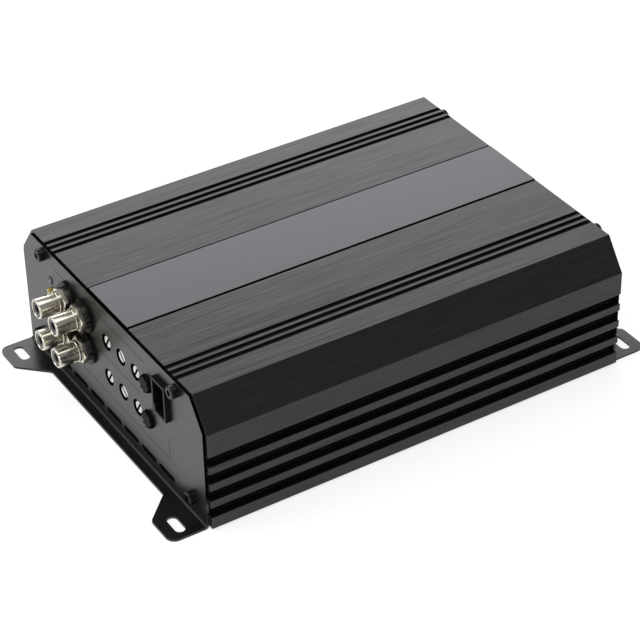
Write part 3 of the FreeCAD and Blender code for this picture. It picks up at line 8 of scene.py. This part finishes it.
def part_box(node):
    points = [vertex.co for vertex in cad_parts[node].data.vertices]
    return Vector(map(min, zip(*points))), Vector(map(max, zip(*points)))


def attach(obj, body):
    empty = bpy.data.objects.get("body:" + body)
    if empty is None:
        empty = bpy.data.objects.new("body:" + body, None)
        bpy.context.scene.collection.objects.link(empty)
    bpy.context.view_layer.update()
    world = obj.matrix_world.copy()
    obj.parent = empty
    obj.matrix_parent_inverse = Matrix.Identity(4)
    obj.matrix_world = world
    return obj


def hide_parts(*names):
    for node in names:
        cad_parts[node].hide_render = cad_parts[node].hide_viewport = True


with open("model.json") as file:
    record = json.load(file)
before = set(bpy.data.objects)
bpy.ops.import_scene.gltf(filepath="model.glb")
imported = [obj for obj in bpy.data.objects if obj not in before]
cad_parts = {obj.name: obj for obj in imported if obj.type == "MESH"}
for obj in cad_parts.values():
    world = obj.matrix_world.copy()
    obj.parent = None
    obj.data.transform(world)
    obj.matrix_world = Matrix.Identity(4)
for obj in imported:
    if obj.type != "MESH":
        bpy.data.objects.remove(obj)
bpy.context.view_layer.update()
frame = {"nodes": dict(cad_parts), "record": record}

MM = 0.001


# ---- node helpers

NOISE_ROUGHNESS = 0.55
NOISE_LOW, NOISE_HIGH = 0.3, 0.7                       # nearly all of a noise lies between these
MIXED_LOW, MIXED_HIGH = 0.38, 0.62                     # and of several noises added up in shares
NODES_IN_ROW = 8
NODE_STEP = (220, -260)                                # spacing of the nodes in the editor
BEVEL_SAMPLES = 4
EDGE_START, EDGE_FULL = 0.02, 0.16                     # edge wear and painted highlight by 1 minus the cosine of the normal's turn
SOFT = 0.02 * MM                                       # width over which painted shade gives way to the finish


class Graph:
    """A material's nodes, set out in rows."""

    def __init__(self, material):
        self.material, self.tree = material, material.node_tree
        self.output = next(n for n in self.tree.nodes if n.type == "OUTPUT_MATERIAL")
        self.axes = None

    @classmethod
    def fresh(cls, name):
        """The nodes of a new material, with nothing but its output."""
        material = bpy.data.materials.new(name)
        material.use_nodes = True
        material.node_tree.nodes.clear()
        material.node_tree.nodes.new("ShaderNodeOutputMaterial")
        return cls(material)

    def node(self, kind, **settings):
        made = self.tree.nodes.new(kind)
        row, column = divmod(len(self.tree.nodes) - 1, NODES_IN_ROW)
        made.location = (NODE_STEP[0] * column, NODE_STEP[1] * row)
        for key, value in settings.items():
            setattr(made, key, value)
        return made

    def join(self, source, target):
        self.tree.links.new(source, target)

    def place(self, stretch=(1, 1, 1)):
        """Position in metres in the object's frame, stretched along each axis."""
        mapping = self.node("ShaderNodeMapping")
        mapping.inputs["Scale"].default_value = stretch
        self.join(self.node("ShaderNodeTexCoord").outputs["Object"], mapping.inputs["Vector"])
        return mapping.outputs["Vector"]

    def noise(self, grain, detail):
        """Noise of a grain given in waves a metre, one number or one for each axis."""
        made = self.node("ShaderNodeTexNoise")
        made.inputs["Scale"].default_value = 1
        made.inputs["Detail"].default_value = detail
        made.inputs["Roughness"].default_value = NOISE_ROUGHNESS
        stretch = grain if isinstance(grain, tuple) else (grain, grain, grain)
        self.join(self.place(stretch), made.inputs["Vector"])
        return made.outputs["Fac"]

    def remap(self, value, low, high, start=NOISE_LOW, end=NOISE_HIGH):
        """The value's range from start to end spread over low to high, and held outside it."""
        made = self.node("ShaderNodeMapRange")
        made.inputs["From Min"].default_value = start
        made.inputs["From Max"].default_value = end
        made.inputs["To Min"].default_value = low
        made.inputs["To Max"].default_value = high
        self.join(value, made.inputs["Value"])
        return made.outputs["Result"]

    def maths(self, operation, a, b):
        made = self.node("ShaderNodeMath", operation=operation)
        for i, value in enumerate((a, b)):
            if isinstance(value, (int, float)):
                made.inputs[i].default_value = value
            else:
                self.join(value, made.inputs[i])
        return made.outputs["Value"]

    def times(self, a, b):
        return self.maths("MULTIPLY", a, b)

    def plus(self, a, b):
        return self.maths("ADD", a, b)

    def tint(self, factor, dark, light):
        """A colour between two, by a factor from 0 to 1."""
        made = self.node("ShaderNodeMix", data_type="RGBA")
        made.inputs[6].default_value = (*dark, 1)
        made.inputs[7].default_value = (*light, 1)
        self.join(factor, made.inputs[0])
        return made.outputs[2]

    def blend(self, factor, under, over):
        """A plain colour laid over another where the factor is high."""
        made = self.node("ShaderNodeMix", data_type="RGBA")
        self.join(factor, made.inputs[0])
        self.join(under, made.inputs[6])
        made.inputs[7].default_value = (*over, 1)
        return made.outputs[2]

    def bump(self, height, strength, distance, normal=None):
        made = self.node("ShaderNodeBump")
        made.inputs["Strength"].default_value = strength
        made.inputs["Distance"].default_value = distance
        self.join(height, made.inputs["Height"])
        if normal is not None:
            self.join(normal, made.inputs["Normal"])
        return made.outputs["Normal"]

    def rounded(self, radius):
        """The normal turned smoothly over an edge, as a deburred edge shows it."""
        bevel = self.node("ShaderNodeBevel", samples=BEVEL_SAMPLES)
        bevel.inputs["Radius"].default_value = radius
        return bevel.outputs["Normal"]

    def worn(self, colour, radius, share, edge_colour):
        """The colour with some of an edge colour along edges, where the rounded normal leaves the true one:
        partly wear, partly painted highlight.
        """
        dot = self.node("ShaderNodeVectorMath", operation="DOT_PRODUCT")
        self.join(self.rounded(radius), dot.inputs[0])
        self.join(self.node("ShaderNodeNewGeometry").outputs["Normal"], dot.inputs[1])
        edge = self.remap(self.maths("SUBTRACT", 1.0, dot.outputs["Value"]), 0, 1, EDGE_START, EDGE_FULL)
        return self.blend(self.times(edge, share), colour, edge_colour)

    def inside(self, axis, low, high):
        """1 where the object's coordinate on an axis lies between two values, 0 outside."""
        if self.axes is None:
            self.axes = self.node("ShaderNodeSeparateXYZ")
            self.join(self.node("ShaderNodeTexCoord").outputs["Object"], self.axes.inputs[0])
        value = self.axes.outputs[axis]
        above = self.remap(value, 0, 1, low, low + SOFT)
        below = self.remap(value, 1, 0, high - SOFT, high)
        return self.times(above, below)

    def surface(self, colour, roughness, normal=None, **settings):
        """The shader itself; the settings are constants on its own sockets."""
        shader = self.node("ShaderNodeBsdfPrincipled")
        for key, value in settings.items():
            shader.inputs[key.replace("_", " ")].default_value = value
        self.join(colour, shader.inputs["Base Color"])
        self.join(roughness, shader.inputs["Roughness"])
        if normal is not None:
            self.join(normal, shader.inputs["Normal"])
        self.join(shader.outputs["BSDF"], self.output.inputs["Surface"])
        return self.material

    def matt(self, factor, colour):
        """A dull layer without gloss over the shader, by a factor; it makes a finish duller, and it lays
        painted shade in seams, cuts, slots and behind the nuts.
        """
        under = self.output.inputs["Surface"].links[0].from_socket
        coat = self.node("ShaderNodeBsdfDiffuse")
        coat.inputs["Color"].default_value = (*colour, 1)
        mix = self.node("ShaderNodeMixShader")
        if isinstance(factor, (int, float)):
            mix.inputs[0].default_value = factor
        else:
            self.join(factor, mix.inputs[0])
        self.join(under, mix.inputs[1])
        self.join(coat.outputs["BSDF"], mix.inputs[2])
        self.join(mix.outputs["Shader"], self.output.inputs["Surface"])
        return self.material


# ---- finishes

case_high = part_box("heatsink_body")[1]
panel_low, panel_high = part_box("centre_panel")
nut_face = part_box("rca_nuts")[0][1]
rotor_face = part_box("trim_pot_rotor_1")[0][1]

CASE_END = case_high[1]                                # each end of the extrusion, from the middle
SHEET = 1.0 * MM                                       # end plate thickness
PLATE_FACE = CASE_END + SHEET
SKIN = 0.05 * MM                                       # how far a face's own finish goes round its edge
CUT_LOW = 14 * MM                                      # above this height the plates' cut edges get painted shade
SEAM = 0.8 * MM                                        # gap on each side of the centre panel
SEAM_DEPTH = 5 * MM                                    # how far the painted shade reaches below the top of the case, deeper than the gap
NUT_FRONT = 1.4 * MM                                   # part of a jack's nut kept bright, in front of the painted shade
SLOT_DEPTH = 1.3 * MM                                  # reach of the painted shade behind a trimmer's face, deeper than its slot
SHADOW = (0.0015, 0.0015, 0.0016)                      # painted shade: dull black inside seams, cuts and slots
# painted shade on a jack's nut and lock washer behind the nut's front
PAINTED_NUT_SHADE = (0.012, 0.011, 0.01)
OILED_BLACK = (0.004, 0.004, 0.004)
EDGE_POLISH_AND_HIGHLIGHT = (0.92, 0.90, 0.85)                          # edges of a metal piece: partly polish, partly painted highlight
EDGE_GAIN, EDGE_LIFT = 1.8, 0.02                       # how much lighter a plastic edge is painted: a painted highlight, with some wear
COAT_IOR = 1.5                                         # anodising, paint, powder coat and oil
LENS_IOR = 1.5
PLASTIC_IOR = 1.49
LENS_DEPTH = 0.6                                       # share of a lens's colour at its darkest
TURNED_GRAIN = (60, 4200, 60)                          # fine rings about an axis along Y, waves a metre

# Brush marks along the case: grain in waves a metre, and share of the pattern.
BRUSH_MARKS = (
    ((1700, 32, 1700), 0.5),
    ((2900, 65, 2900), 0.32),
    ((750, 10, 750), 0.18),
)


def brushed_anodising():
    """Extrusion brushed along its length and dyed nearly black."""
    g = Graph.fresh("anodised_case")
    lines = 0.0
    for grain, share in BRUSH_MARKS:
        lines = g.plus(lines, g.times(g.noise(grain, 2), share))
    cloud = g.noise((12, 7, 12), 3)
    specks = g.remap(g.noise((1100, 700, 1100), 1), 0, 1, 0.80, 0.85)    # only the noise's tips
    facing = g.node("ShaderNodeSeparateXYZ")
    g.join(g.node("ShaderNodeNewGeometry").outputs["Normal"], facing.inputs[0])
    contrast = g.remap(facing.outputs["Z"], 0.35, 1, 0.8, 0.95)          # full on what faces up
    lines = g.plus(g.times(g.maths("SUBTRACT", lines, 0.5), contrast), 0.5)
    dyed = g.tint(g.remap(lines, 0, 1, MIXED_LOW, MIXED_HIGH),
                  dark=(0.0245, 0.0248, 0.0258), light=(0.066, 0.0666, 0.0693))
    dyed = g.blend(g.times(specks, 0.4), dyed, over=(0.15, 0.152, 0.157))
    # edges lighter: partly bare metal through the anodising, partly painted highlight
    colour = g.worn(dyed, radius=0.3 * MM, share=0.35, edge_colour=(0.13, 0.13, 0.135))
    roughness = g.plus(g.remap(lines, 0.27, 0.37, 0.35, 0.65), g.remap(cloud, -0.02, 0.02))
    normal = g.bump(lines, strength=0.07, distance=0.03 * MM, normal=g.rounded(0.18 * MM))
    g.surface(colour, roughness, normal, Metallic=0.92, IOR=COAT_IOR)
    # painted shade: dull black on the case inside the gaps beside the centre panel
    across = g.inside("X", panel_low[0] - SEAM - SKIN, panel_high[0] + SEAM + SKIN)
    below = g.inside("Z", case_high[2] - SEAM_DEPTH, case_high[2] - SKIN)
    return g.matt(g.times(across, below), SHADOW)


def satin_anodising():
    """Fine satin of the strip let into the top, with painted shade, dull black, below its face."""
    g = Graph.fresh("satin_panel")
    grain = g.noise(1300, 3)
    cloud = g.noise((14, 6, 14), 3)
    satin = g.tint(g.remap(grain, 0, 1, 0.35, 0.65), dark=(0.077, 0.078, 0.0815), light=(0.099, 0.1, 0.1045))
    # edges lighter: partly wear, partly painted highlight
    colour = g.worn(satin, radius=0.2 * MM, share=0.3, edge_colour=(0.2, 0.2, 0.205))
    roughness = g.plus(g.remap(grain, 0.33, 0.40), g.remap(cloud, -0.015, 0.015))
    normal = g.bump(grain, strength=0.12, distance=0.02 * MM, normal=g.rounded(0.12 * MM))
    g.surface(colour, roughness, normal, Metallic=0.95, IOR=COAT_IOR)
    # painted shade on the panel's sides below its top face
    return g.matt(g.inside("Z", panel_low[2] - SKIN, panel_high[2] - SKIN), SHADOW)


def powder_coat():
    """Black powder coat with its orange peel, and painted shade, dull black, on the plates' cut edges."""
    g = Graph.fresh("powder_coat")
    peel = g.noise(420, 2)
    grit = g.noise(2400, 2)
    coat = g.tint(g.remap(grit, 0, 1), dark=(0.0028, 0.0028, 0.0029), light=(0.0062, 0.0062, 0.0063))
    # edges lighter: partly chipped coat, partly painted highlight
    colour = g.worn(coat, radius=0.3 * MM, share=0.45, edge_colour=(0.07, 0.07, 0.072))
    roughness = g.plus(g.remap(grit, 0.28, 0.35), g.remap(peel, -0.02, 0.02))
    waves = g.bump(peel, strength=0.12, distance=0.06 * MM)
    normal = g.bump(grit, strength=0.1, distance=0.03 * MM, normal=waves)
    g.surface(colour, roughness, normal, IOR=COAT_IOR)
    # painted shade on the plates' cut edges, front and rear
    front = g.inside("Y", SKIN - PLATE_FACE, -CASE_END)
    rear = g.inside("Y", CASE_END, PLATE_FACE - SKIN)
    return g.matt(g.times(g.plus(front, rear), g.inside("Z", CUT_LOW, case_high[2])), SHADOW)


def painted_cover():
    """Thin black paint on the bottom cover, scuffed."""
    g = Graph.fresh("cover_steel")
    grain = g.noise(1500, 3)
    scuffs = g.remap(g.noise((90, 14, 90), 5), 0, 1, 0.62, 0.72)
    paint = g.tint(g.remap(grain, 0, 1), dark=(0.014, 0.014, 0.014), light=(0.024, 0.024, 0.0245))
    colour = g.blend(g.times(scuffs, 0.3), paint, over=(0.08, 0.08, 0.08))
    normal = g.bump(grain, strength=0.15, distance=0.03 * MM)
    return g.surface(colour, g.remap(grain, 0.42, 0.55), normal, IOR=COAT_IOR)


def bright_metal(name, dark, light, low, high, grain=900, worn=0.35, relief=0.02):
    """Plated or bare metal between two colours and two roughnesses, polished along its edges and with a
    painted highlight there.
    """
    g = Graph.fresh(name)
    marks = g.noise(grain, 3)
    haze = g.noise(260, 3)
    colour = g.worn(g.tint(g.remap(haze, 0, 1), dark, light), 0.25 * MM, share=worn, edge_colour=EDGE_POLISH_AND_HIGHLIGHT)
    roughness = g.plus(g.remap(marks, low, high), g.remap(haze, -0.01, 0.015))
    normal = g.bump(marks, relief, distance=0.01 * MM) if relief else None
    return g.surface(colour, roughness, normal, Metallic=1.0)


def nut_metal():
    """Bright at the nut's front, with painted shade behind it down to the washer."""
    g = Graph(bright_metal("nickel_nut", (0.62, 0.585, 0.51), (0.74, 0.705, 0.62), 0.16, 0.24,
                           TURNED_GRAIN, worn=0.8, relief=0))
    # painted shade behind the nut's front, over its flank and the lock washer
    return g.matt(g.times(g.inside("Y", nut_face + NUT_FRONT, -PLATE_FACE), 0.7), PAINTED_NUT_SHADE)


def black_oxide():
    """Blackened and oiled screw steel, lighter along its edges: partly wear, partly painted highlight."""
    g = Graph.fresh("black_screw")
    grain = g.noise(1700, 3)
    oxide = g.tint(g.remap(grain, 0, 1), dark=(0.004, 0.004, 0.0042), light=(0.008, 0.008, 0.0085))
    # edges lighter: partly wear, partly painted highlight
    colour = g.worn(oxide, radius=0.25 * MM, share=0.5, edge_colour=(0.16, 0.16, 0.16))
    normal = g.bump(grain, strength=0.05, distance=0.02 * MM)
    g.surface(colour, g.remap(grain, 0.1, 0.17), normal, IOR=COAT_IOR)
    return g.matt(0.35, OILED_BLACK)


def moulded(name, dark, light, low=0.38, high=0.5, grain=1500, bump=0.12, dull=0, worn=0.4,
            **settings):
    """Moulded plastic or the like between two colours and two roughnesses, its edges lighter: a painted
    highlight, with some wear.
    """
    g = Graph.fresh(name)
    texture = g.noise(grain, 3)
    flow = g.noise(150, 3)
    mixed = g.plus(g.times(texture, 0.6), g.times(flow, 0.4))
    plastic = g.tint(g.remap(mixed, 0, 1, MIXED_LOW, MIXED_HIGH), dark, light)
    # edge colour: a painted highlight, with some wear
    lifted = tuple(min(1, c * EDGE_GAIN + EDGE_LIFT) for c in light)
    colour = g.worn(plastic, 0.25 * MM, share=worn, edge_colour=lifted)
    normal = g.bump(texture, bump, distance=0.03 * MM)
    g.surface(colour, g.remap(texture, low, high), normal, IOR=PLASTIC_IOR, **settings)
    return g.matt(dull, dark) if dull else g.material


def trim_plastic():
    """White plastic with painted shade in its screwdriver slot."""
    g = Graph(moulded("trim_rotor", (0.78, 0.78, 0.77), (0.86, 0.86, 0.85), 0.3, 0.42))
    # painted shade over everything behind the rotor's face
    return g.matt(g.inside("Y", rotor_face + SKIN, rotor_face + SLOT_DEPTH), SHADOW)


def lens(name, colour):
    """A tinted lens, a little cloudy inside."""
    g = Graph.fresh(name)
    cloud = g.noise(700, 2)
    shade = g.tint(g.remap(cloud, 0, 1), tuple(c * LENS_DEPTH for c in colour), colour)
    normal = g.bump(cloud, strength=0.04, distance=0.02 * MM)
    return g.surface(shade, g.remap(cloud, 0.06, 0.12), normal,
                     Transmission_Weight=0.35, IOR=LENS_IOR, Coat_Weight=0.4)


def circuit_board():
    """Green solder mask over faint copper tracks in a brick pattern."""
    g = Graph.fresh("board")
    tracks = g.node("ShaderNodeTexBrick")
    tracks.inputs["Scale"].default_value = 190
    tracks.inputs["Mortar Size"].default_value = 0.035
    g.join(g.place(), tracks.inputs["Vector"])
    weave = g.noise(2100, 2)
    mask = g.tint(g.remap(weave, 0, 1), dark=(0.008, 0.062, 0.025), light=(0.013, 0.092, 0.036))
    colour = g.blend(g.times(tracks.outputs["Fac"], 0.55), mask, over=(0.03, 0.16, 0.07))
    normal = g.bump(tracks.outputs["Fac"], strength=0.25, distance=0.03 * MM)
    return g.surface(colour, g.remap(weave, 0.22, 0.34), normal, IOR=COAT_IOR)


# Metals: the two colours, the two roughnesses, and what else bright_metal is told.
METALS = {
    "zinc_screw": ((0.42, 0.43, 0.45), (0.58, 0.58, 0.6), 0.25, 0.38, {}),
    "nickel_plate": ((0.58, 0.545, 0.47), (0.70, 0.665, 0.58), 0.16, 0.172,
                     {"grain": TURNED_GRAIN, "relief": 0}),
    # gold_contact's near-black colours are painted shade deep in the jack's bore
    "gold_contact": ((0.03, 0.022, 0.01), (0.06, 0.045, 0.02), 0.35, 0.5, {"grain": TURNED_GRAIN}),
    "copper_wire": ((0.42, 0.13, 0.04), (0.62, 0.24, 0.09), 0.2, 0.32, {}),
    "bar_steel": ((0.38, 0.38, 0.39), (0.52, 0.52, 0.53), 0.28, 0.42, {}),
}

# Plastics and other dull materials, and what else moulded is told, in the same order.
MOULDED = {
    "black_washer": ((0.003, 0.003, 0.003), (0.006, 0.006, 0.006), 0.2, 0.3,
                     {"grain": 900, "bump": 0.02, "dull": 0.5, "worn": 0.15}),
    "jack_core": ((0.085, 0.085, 0.088), (0.14, 0.14, 0.145), 0.3, 0.42, {}),
    "trim_case": ((0.012, 0.04, 0.11), (0.02, 0.06, 0.16), 0.38, 0.5, {}),
    "knob_black": ((0.006, 0.006, 0.0063), (0.012, 0.012, 0.0125), 0.24, 0.34, {"dull": 0.8}),
    "socket_black": ((0.004, 0.004, 0.0042), (0.008, 0.008, 0.0085), 0.3, 0.42,
                     {"dull": 0.5, "worn": 0.2}),
    "fuse_body": ((0.5, 0.16, 0.01), (0.66, 0.24, 0.02), 0.15, 0.25,
                  {"grain": 500, "Transmission_Weight": 0.25}),
    "ferrite": ((0.045, 0.045, 0.046), (0.075, 0.075, 0.077), 0.5, 0.7, {"grain": 1100, "bump": 0.3}),
    "capacitor_sleeve": ((0.01, 0.011, 0.03), (0.018, 0.02, 0.05), 0.16, 0.26, {}),
    "chip_case": ((0.02, 0.02, 0.02), (0.035, 0.035, 0.035), 0.5, 0.65, {}),
    "thermal_silicone": ((0.24, 0.24, 0.26), (0.34, 0.34, 0.36), 0.6, 0.75, {}),
    "frame_ink": ((0.03, 0.03, 0.03), (0.045, 0.045, 0.045), 0.38, 0.5, {"dull": 0.85}),
}

OTHER_FINISH = {                                       # nodes whose finish differs from their slot's
    "rca_nuts": "nickel_nut",
    "rca_lock_washers": "nickel_nut",
    "power_led_bezel": "black_screw",
}


def finishes():
    """One material for each of the record's slots, one for the jack nuts and one for the printed lines."""
    made = {
        "anodised_case": brushed_anodising(),
        "satin_panel": satin_anodising(),
        "powder_coat": powder_coat(),
        "cover_steel": painted_cover(),
        "black_screw": black_oxide(),
        "nickel_nut": nut_metal(),
        "trim_rotor": trim_plastic(),
        "lamp_clear": lens("lamp_clear", (0.2, 0.215, 0.25)),
        "lamp_amber": lens("lamp_amber", (0.62, 0.45, 0.05)),
        "board": circuit_board(),
    }
    for name, (dark, light, low, high, rest) in METALS.items():
        made[name] = bright_metal(name, dark, light, low, high, **rest)
    for name, (dark, light, low, high, rest) in MOULDED.items():
        made[name] = moulded(name, dark, light, low, high, **rest)
    return made


def dress_nodes(materials):
    """Give every carried-over node the material of its slot."""
    for row in frame["record"]["subparts"]:
        piece = frame["nodes"][row["node"]]
        material = materials[OTHER_FINISH.get(row["node"], row["material_slot"])]
        if not piece.material_slots:
            piece.data.materials.append(material)
        for holder in piece.material_slots:
            holder.material = material


# ---- modelled pieces

TURN_STEPS = 96                                        # faces round a turned piece
SHARP_ANGLE = 28                                       # degrees between faces that meet in a crease
JACK_COUNT = 4
SHELL_BORE = 3.3 * MM                                  # radii of a jack's shell
SHELL_BARREL = 4.2 * MM
SHELL_COLLAR = 4.5 * MM
SHELL_THREAD = 4.0 * MM
BARREL_LENGTH = 8.6 * MM
COLLAR_WIDTH = 1.4 * MM
COLLAR_EDGE = 0.15 * MM
FLANGE_WIDTH = 1.4 * MM                                # behind the plate
LIP = 0.6 * MM                                         # radius of the shell's open end
LIP_STEPS = 6
BORE_EDGE = 0.2 * MM
RING_COUNT = 4                                         # fine rings turned before the collar
RING_PITCH = 0.62 * MM
RING_DEPTH = 0.3 * MM
RING_PROFILE = ((0, 0), (1, 0.2), (1, 0.5), (0, 0.7))  # shares of the depth and of the pitch

LINE_WIDTH = 0.26 * MM
LINE_HEIGHT = 0.02 * MM
# Printed lines on the front plate, in mm: name, and the (x, z) of both ends.
PRINTED_LINES = (
    ("frame_line_low", (-24, 15.6), (46, 15.6)),
    ("frame_line_right", (46, 15.6), (46, 25.5)),
    ("frame_line_top", (-44, 51), (30, 51)),
    ("frame_line_middle", (-10, 33.5), (25, 33.5)),
)


def add_mesh(name, points, faces, finish):
    """A piece that rides on the case."""
    mesh = bpy.data.meshes.new(name)
    mesh.from_pydata(points, [], faces)
    mesh.shade_smooth()
    mesh.set_sharp_from_angle(angle=math.radians(SHARP_ANGLE))
    mesh.materials.append(finish)
    piece = bpy.data.objects.new(name, mesh)
    bpy.context.scene.collection.objects.link(piece)
    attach(piece, "case")
    return piece


def turned(name, outline, x, z, finish):
    """A closed outline of (radius, y) points turned about an axis along Y."""
    points, faces, n = [], [], len(outline)
    for step in range(TURN_STEPS):
        a = 2 * math.pi * step / TURN_STEPS
        points += [(x + r * math.cos(a), y, z + r * math.sin(a)) for r, y in outline]
    for step in range(TURN_STEPS):
        here, there = step * n, (step + 1) % TURN_STEPS * n
        faces += [(here + i, here + (i + 1) % n, there + (i + 1) % n, there + i) for i in range(n)]
    return add_mesh(name, points, faces, finish)


def shell_outline(face, back, flange):
    """A jack shell's outline from its open face at the front to its back, inside the case."""
    collar, end = face + BARREL_LENGTH, face + BARREL_LENGTH + COLLAR_WIDTH
    outline = [(SHELL_BORE, face + BORE_EDGE), (SHELL_BORE + BORE_EDGE, face)]
    for i in range(LIP_STEPS + 1):
        a = math.pi / 2 * i / LIP_STEPS
        outline.append((SHELL_BARREL - LIP * (1 - math.sin(a)), face + LIP * (1 - math.cos(a))))
    for i in range(RING_COUNT):
        ring = collar - (RING_COUNT - i) * RING_PITCH
        for drop, along in RING_PROFILE:
            outline.append((SHELL_BARREL - RING_DEPTH * drop, ring + RING_PITCH * along))
    outline += [
        (SHELL_BARREL, collar),
        (SHELL_COLLAR - COLLAR_EDGE, collar),
        (SHELL_COLLAR, collar + COLLAR_EDGE),
        (SHELL_COLLAR, end - COLLAR_EDGE),
        (SHELL_COLLAR - COLLAR_EDGE, end),
        (SHELL_THREAD, end),
        (SHELL_THREAD, -CASE_END),
        (flange, -CASE_END),
        (flange, FLANGE_WIDTH - CASE_END),
        (SHELL_THREAD, FLANGE_WIDTH - CASE_END),
        (SHELL_THREAD, back),
        (SHELL_BORE, back),
    ]
    return outline


def make_jack_shells(finish):
    """The plated shells with the rings turned in them, in place of the plain shells."""
    for k in range(1, JACK_COUNT + 1):
        low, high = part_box("rca_shell_%d" % k)
        x, z = (low[0] + high[0]) / 2, (low[2] + high[2]) / 2
        outline = shell_outline(low[1], high[1], (high[0] - low[0]) / 2)
        piece = turned("jack_shell_%d" % k, outline, x, z, finish)
        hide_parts("rca_shell_%d" % k)


def make_printed_frame(finish):
    """The plain frame printed round the controls, and the line between their two rows."""
    for name, start, end in PRINTED_LINES:
        x0, z0, x1, z1 = (v * MM for v in (*start, *end))
        length = math.hypot(x1 - x0, z1 - z0)
        nx, nz = -(z1 - z0) / length * LINE_WIDTH / 2, (x1 - x0) / length * LINE_WIDTH / 2
        ring = [(x0 + nx, z0 + nz), (x1 + nx, z1 + nz), (x1 - nx, z1 - nz), (x0 - nx, z0 - nz)]
        points = [(x, -PLATE_FACE - y, z) for y in (0, LINE_HEIGHT) for x, z in ring]
        faces = [(4, 5, 6, 7), (0, 1, 5, 4), (1, 2, 6, 5), (2, 3, 7, 6), (3, 0, 4, 7), (3, 2, 1, 0)]
        add_mesh(name, points, faces, finish)


# ---- stage

FLOOR_SIDE = 6.0
FLOOR_LIFT = 0.72                                      # glow of the floor where it is seen or mirrored
FLOOR_GREY = 0.42
WORLD_LIGHT = 0.3
LAMP_TARGET = Vector((0, 0, 0.03))
CAMERA_AZIMUTH = 58.6
CAMERA_ELEVATION = 35.49
CAMERA_ROLL = -1.23
CAMERA_DISTANCE = 0.96586
CAMERA_TARGET = Vector((2.263, -1.563, 16.968)) * MM
LENS_MM = 133.2
SENSOR_MM = 36.0
WHITE = (1, 1, 1)

# Area lamps: name, azimuth, elevation, distance, width, height, watts and colour.
LAMPS = (
    ("key_far_left", 249, 25, 1.6, 1.5, 0.8, 11.7, (0.98, 0.975, 1.0)),
    ("overhead", 20, 82, 1.7, 1.4, 1.4, 11, WHITE),
    ("fill_front_left", -30, 30, 1.8, 1.2, 0.8, 7, WHITE),
    ("fill_front_right", 35, 22, 1.8, 1.2, 0.8, 10, WHITE),
)


def direction(azimuth, elevation):
    """The way to something seen from the middle: azimuth 0 is the front, 90 the right."""
    a, e = math.radians(azimuth), math.radians(elevation)
    return Vector((math.sin(a) * math.cos(e), -math.cos(a) * math.cos(e), math.sin(e)))


def make_floor():
    """A pale floor that shows white to the camera and in reflections, and keeps the object's shadow."""
    mesh = bpy.data.meshes.new("floor")
    half = FLOOR_SIDE / 2
    mesh.from_pydata([(-half, -half, 0), (half, -half, 0), (half, half, 0), (-half, half, 0)], [],
                     [(0, 1, 2, 3)])
    floor = bpy.data.objects.new("floor", mesh)
    bpy.context.scene.collection.objects.link(floor)
    g = Graph.fresh("floor")
    diffuse = g.node("ShaderNodeBsdfDiffuse")
    diffuse.inputs["Color"].default_value = (FLOOR_GREY, FLOOR_GREY, FLOOR_GREY, 1)
    lift = g.node("ShaderNodeEmission")
    seen = g.node("ShaderNodeLightPath").outputs
    shown = g.maths("MAXIMUM", seen["Is Camera Ray"], seen["Is Transmission Ray"])
    shown = g.maths("MAXIMUM", shown, seen["Is Glossy Ray"])
    g.join(g.times(shown, FLOOR_LIFT), lift.inputs["Strength"])
    both = g.node("ShaderNodeAddShader")
    g.join(diffuse.outputs["BSDF"], both.inputs[0])
    g.join(lift.outputs["Emission"], both.inputs[1])
    g.join(both.outputs["Shader"], g.output.inputs["Surface"])
    mesh.materials.append(g.material)


def make_lights():
    """Soft area lamps that shine on the middle of the object, and an even white world."""
    world = bpy.data.worlds.new("studio")
    bpy.context.scene.world = world
    world.use_nodes = True
    background = world.node_tree.nodes["Background"]
    background.inputs["Color"].default_value = (*WHITE, 1)
    background.inputs["Strength"].default_value = WORLD_LIGHT
    for name, azimuth, elevation, distance, width, height, watts, colour in LAMPS:
        data = bpy.data.lights.new(name, "AREA")
        data.shape = "RECTANGLE"
        data.size, data.size_y, data.energy, data.color = width, height, watts, colour
        lamp = bpy.data.objects.new(name, data)
        bpy.context.scene.collection.objects.link(lamp)
        lamp.location = direction(azimuth, elevation) * distance
        lamp.rotation_mode = "QUATERNION"
        lamp.rotation_quaternion = (LAMP_TARGET - lamp.location).to_track_quat("-Z", "Y")


def make_camera():
    """The camera where the photograph was taken from."""
    back = direction(CAMERA_AZIMUTH, CAMERA_ELEVATION)
    azimuth, roll = math.radians(CAMERA_AZIMUTH), math.radians(CAMERA_ROLL)
    level = Vector((math.cos(azimuth), math.sin(azimuth), 0))
    right = level * math.cos(roll) + back.cross(level) * math.sin(roll)
    up = back.cross(right)
    data = bpy.data.cameras.new("camera")
    data.lens, data.sensor_width = LENS_MM, SENSOR_MM
    camera = bpy.data.objects.new("camera", data)
    bpy.context.scene.collection.objects.link(camera)
    turn = Matrix((right, up, back)).transposed().to_4x4()
    camera.matrix_world = Matrix.Translation(CAMERA_TARGET + back * CAMERA_DISTANCE) @ turn
    bpy.context.scene.camera = camera


materials = finishes()
dress_nodes(materials)
make_jack_shells(materials["nickel_plate"])
make_printed_frame(materials["frame_ink"])
make_floor()
make_lights()
make_camera()
bpy.context.scene.view_settings.view_transform = "Standard"
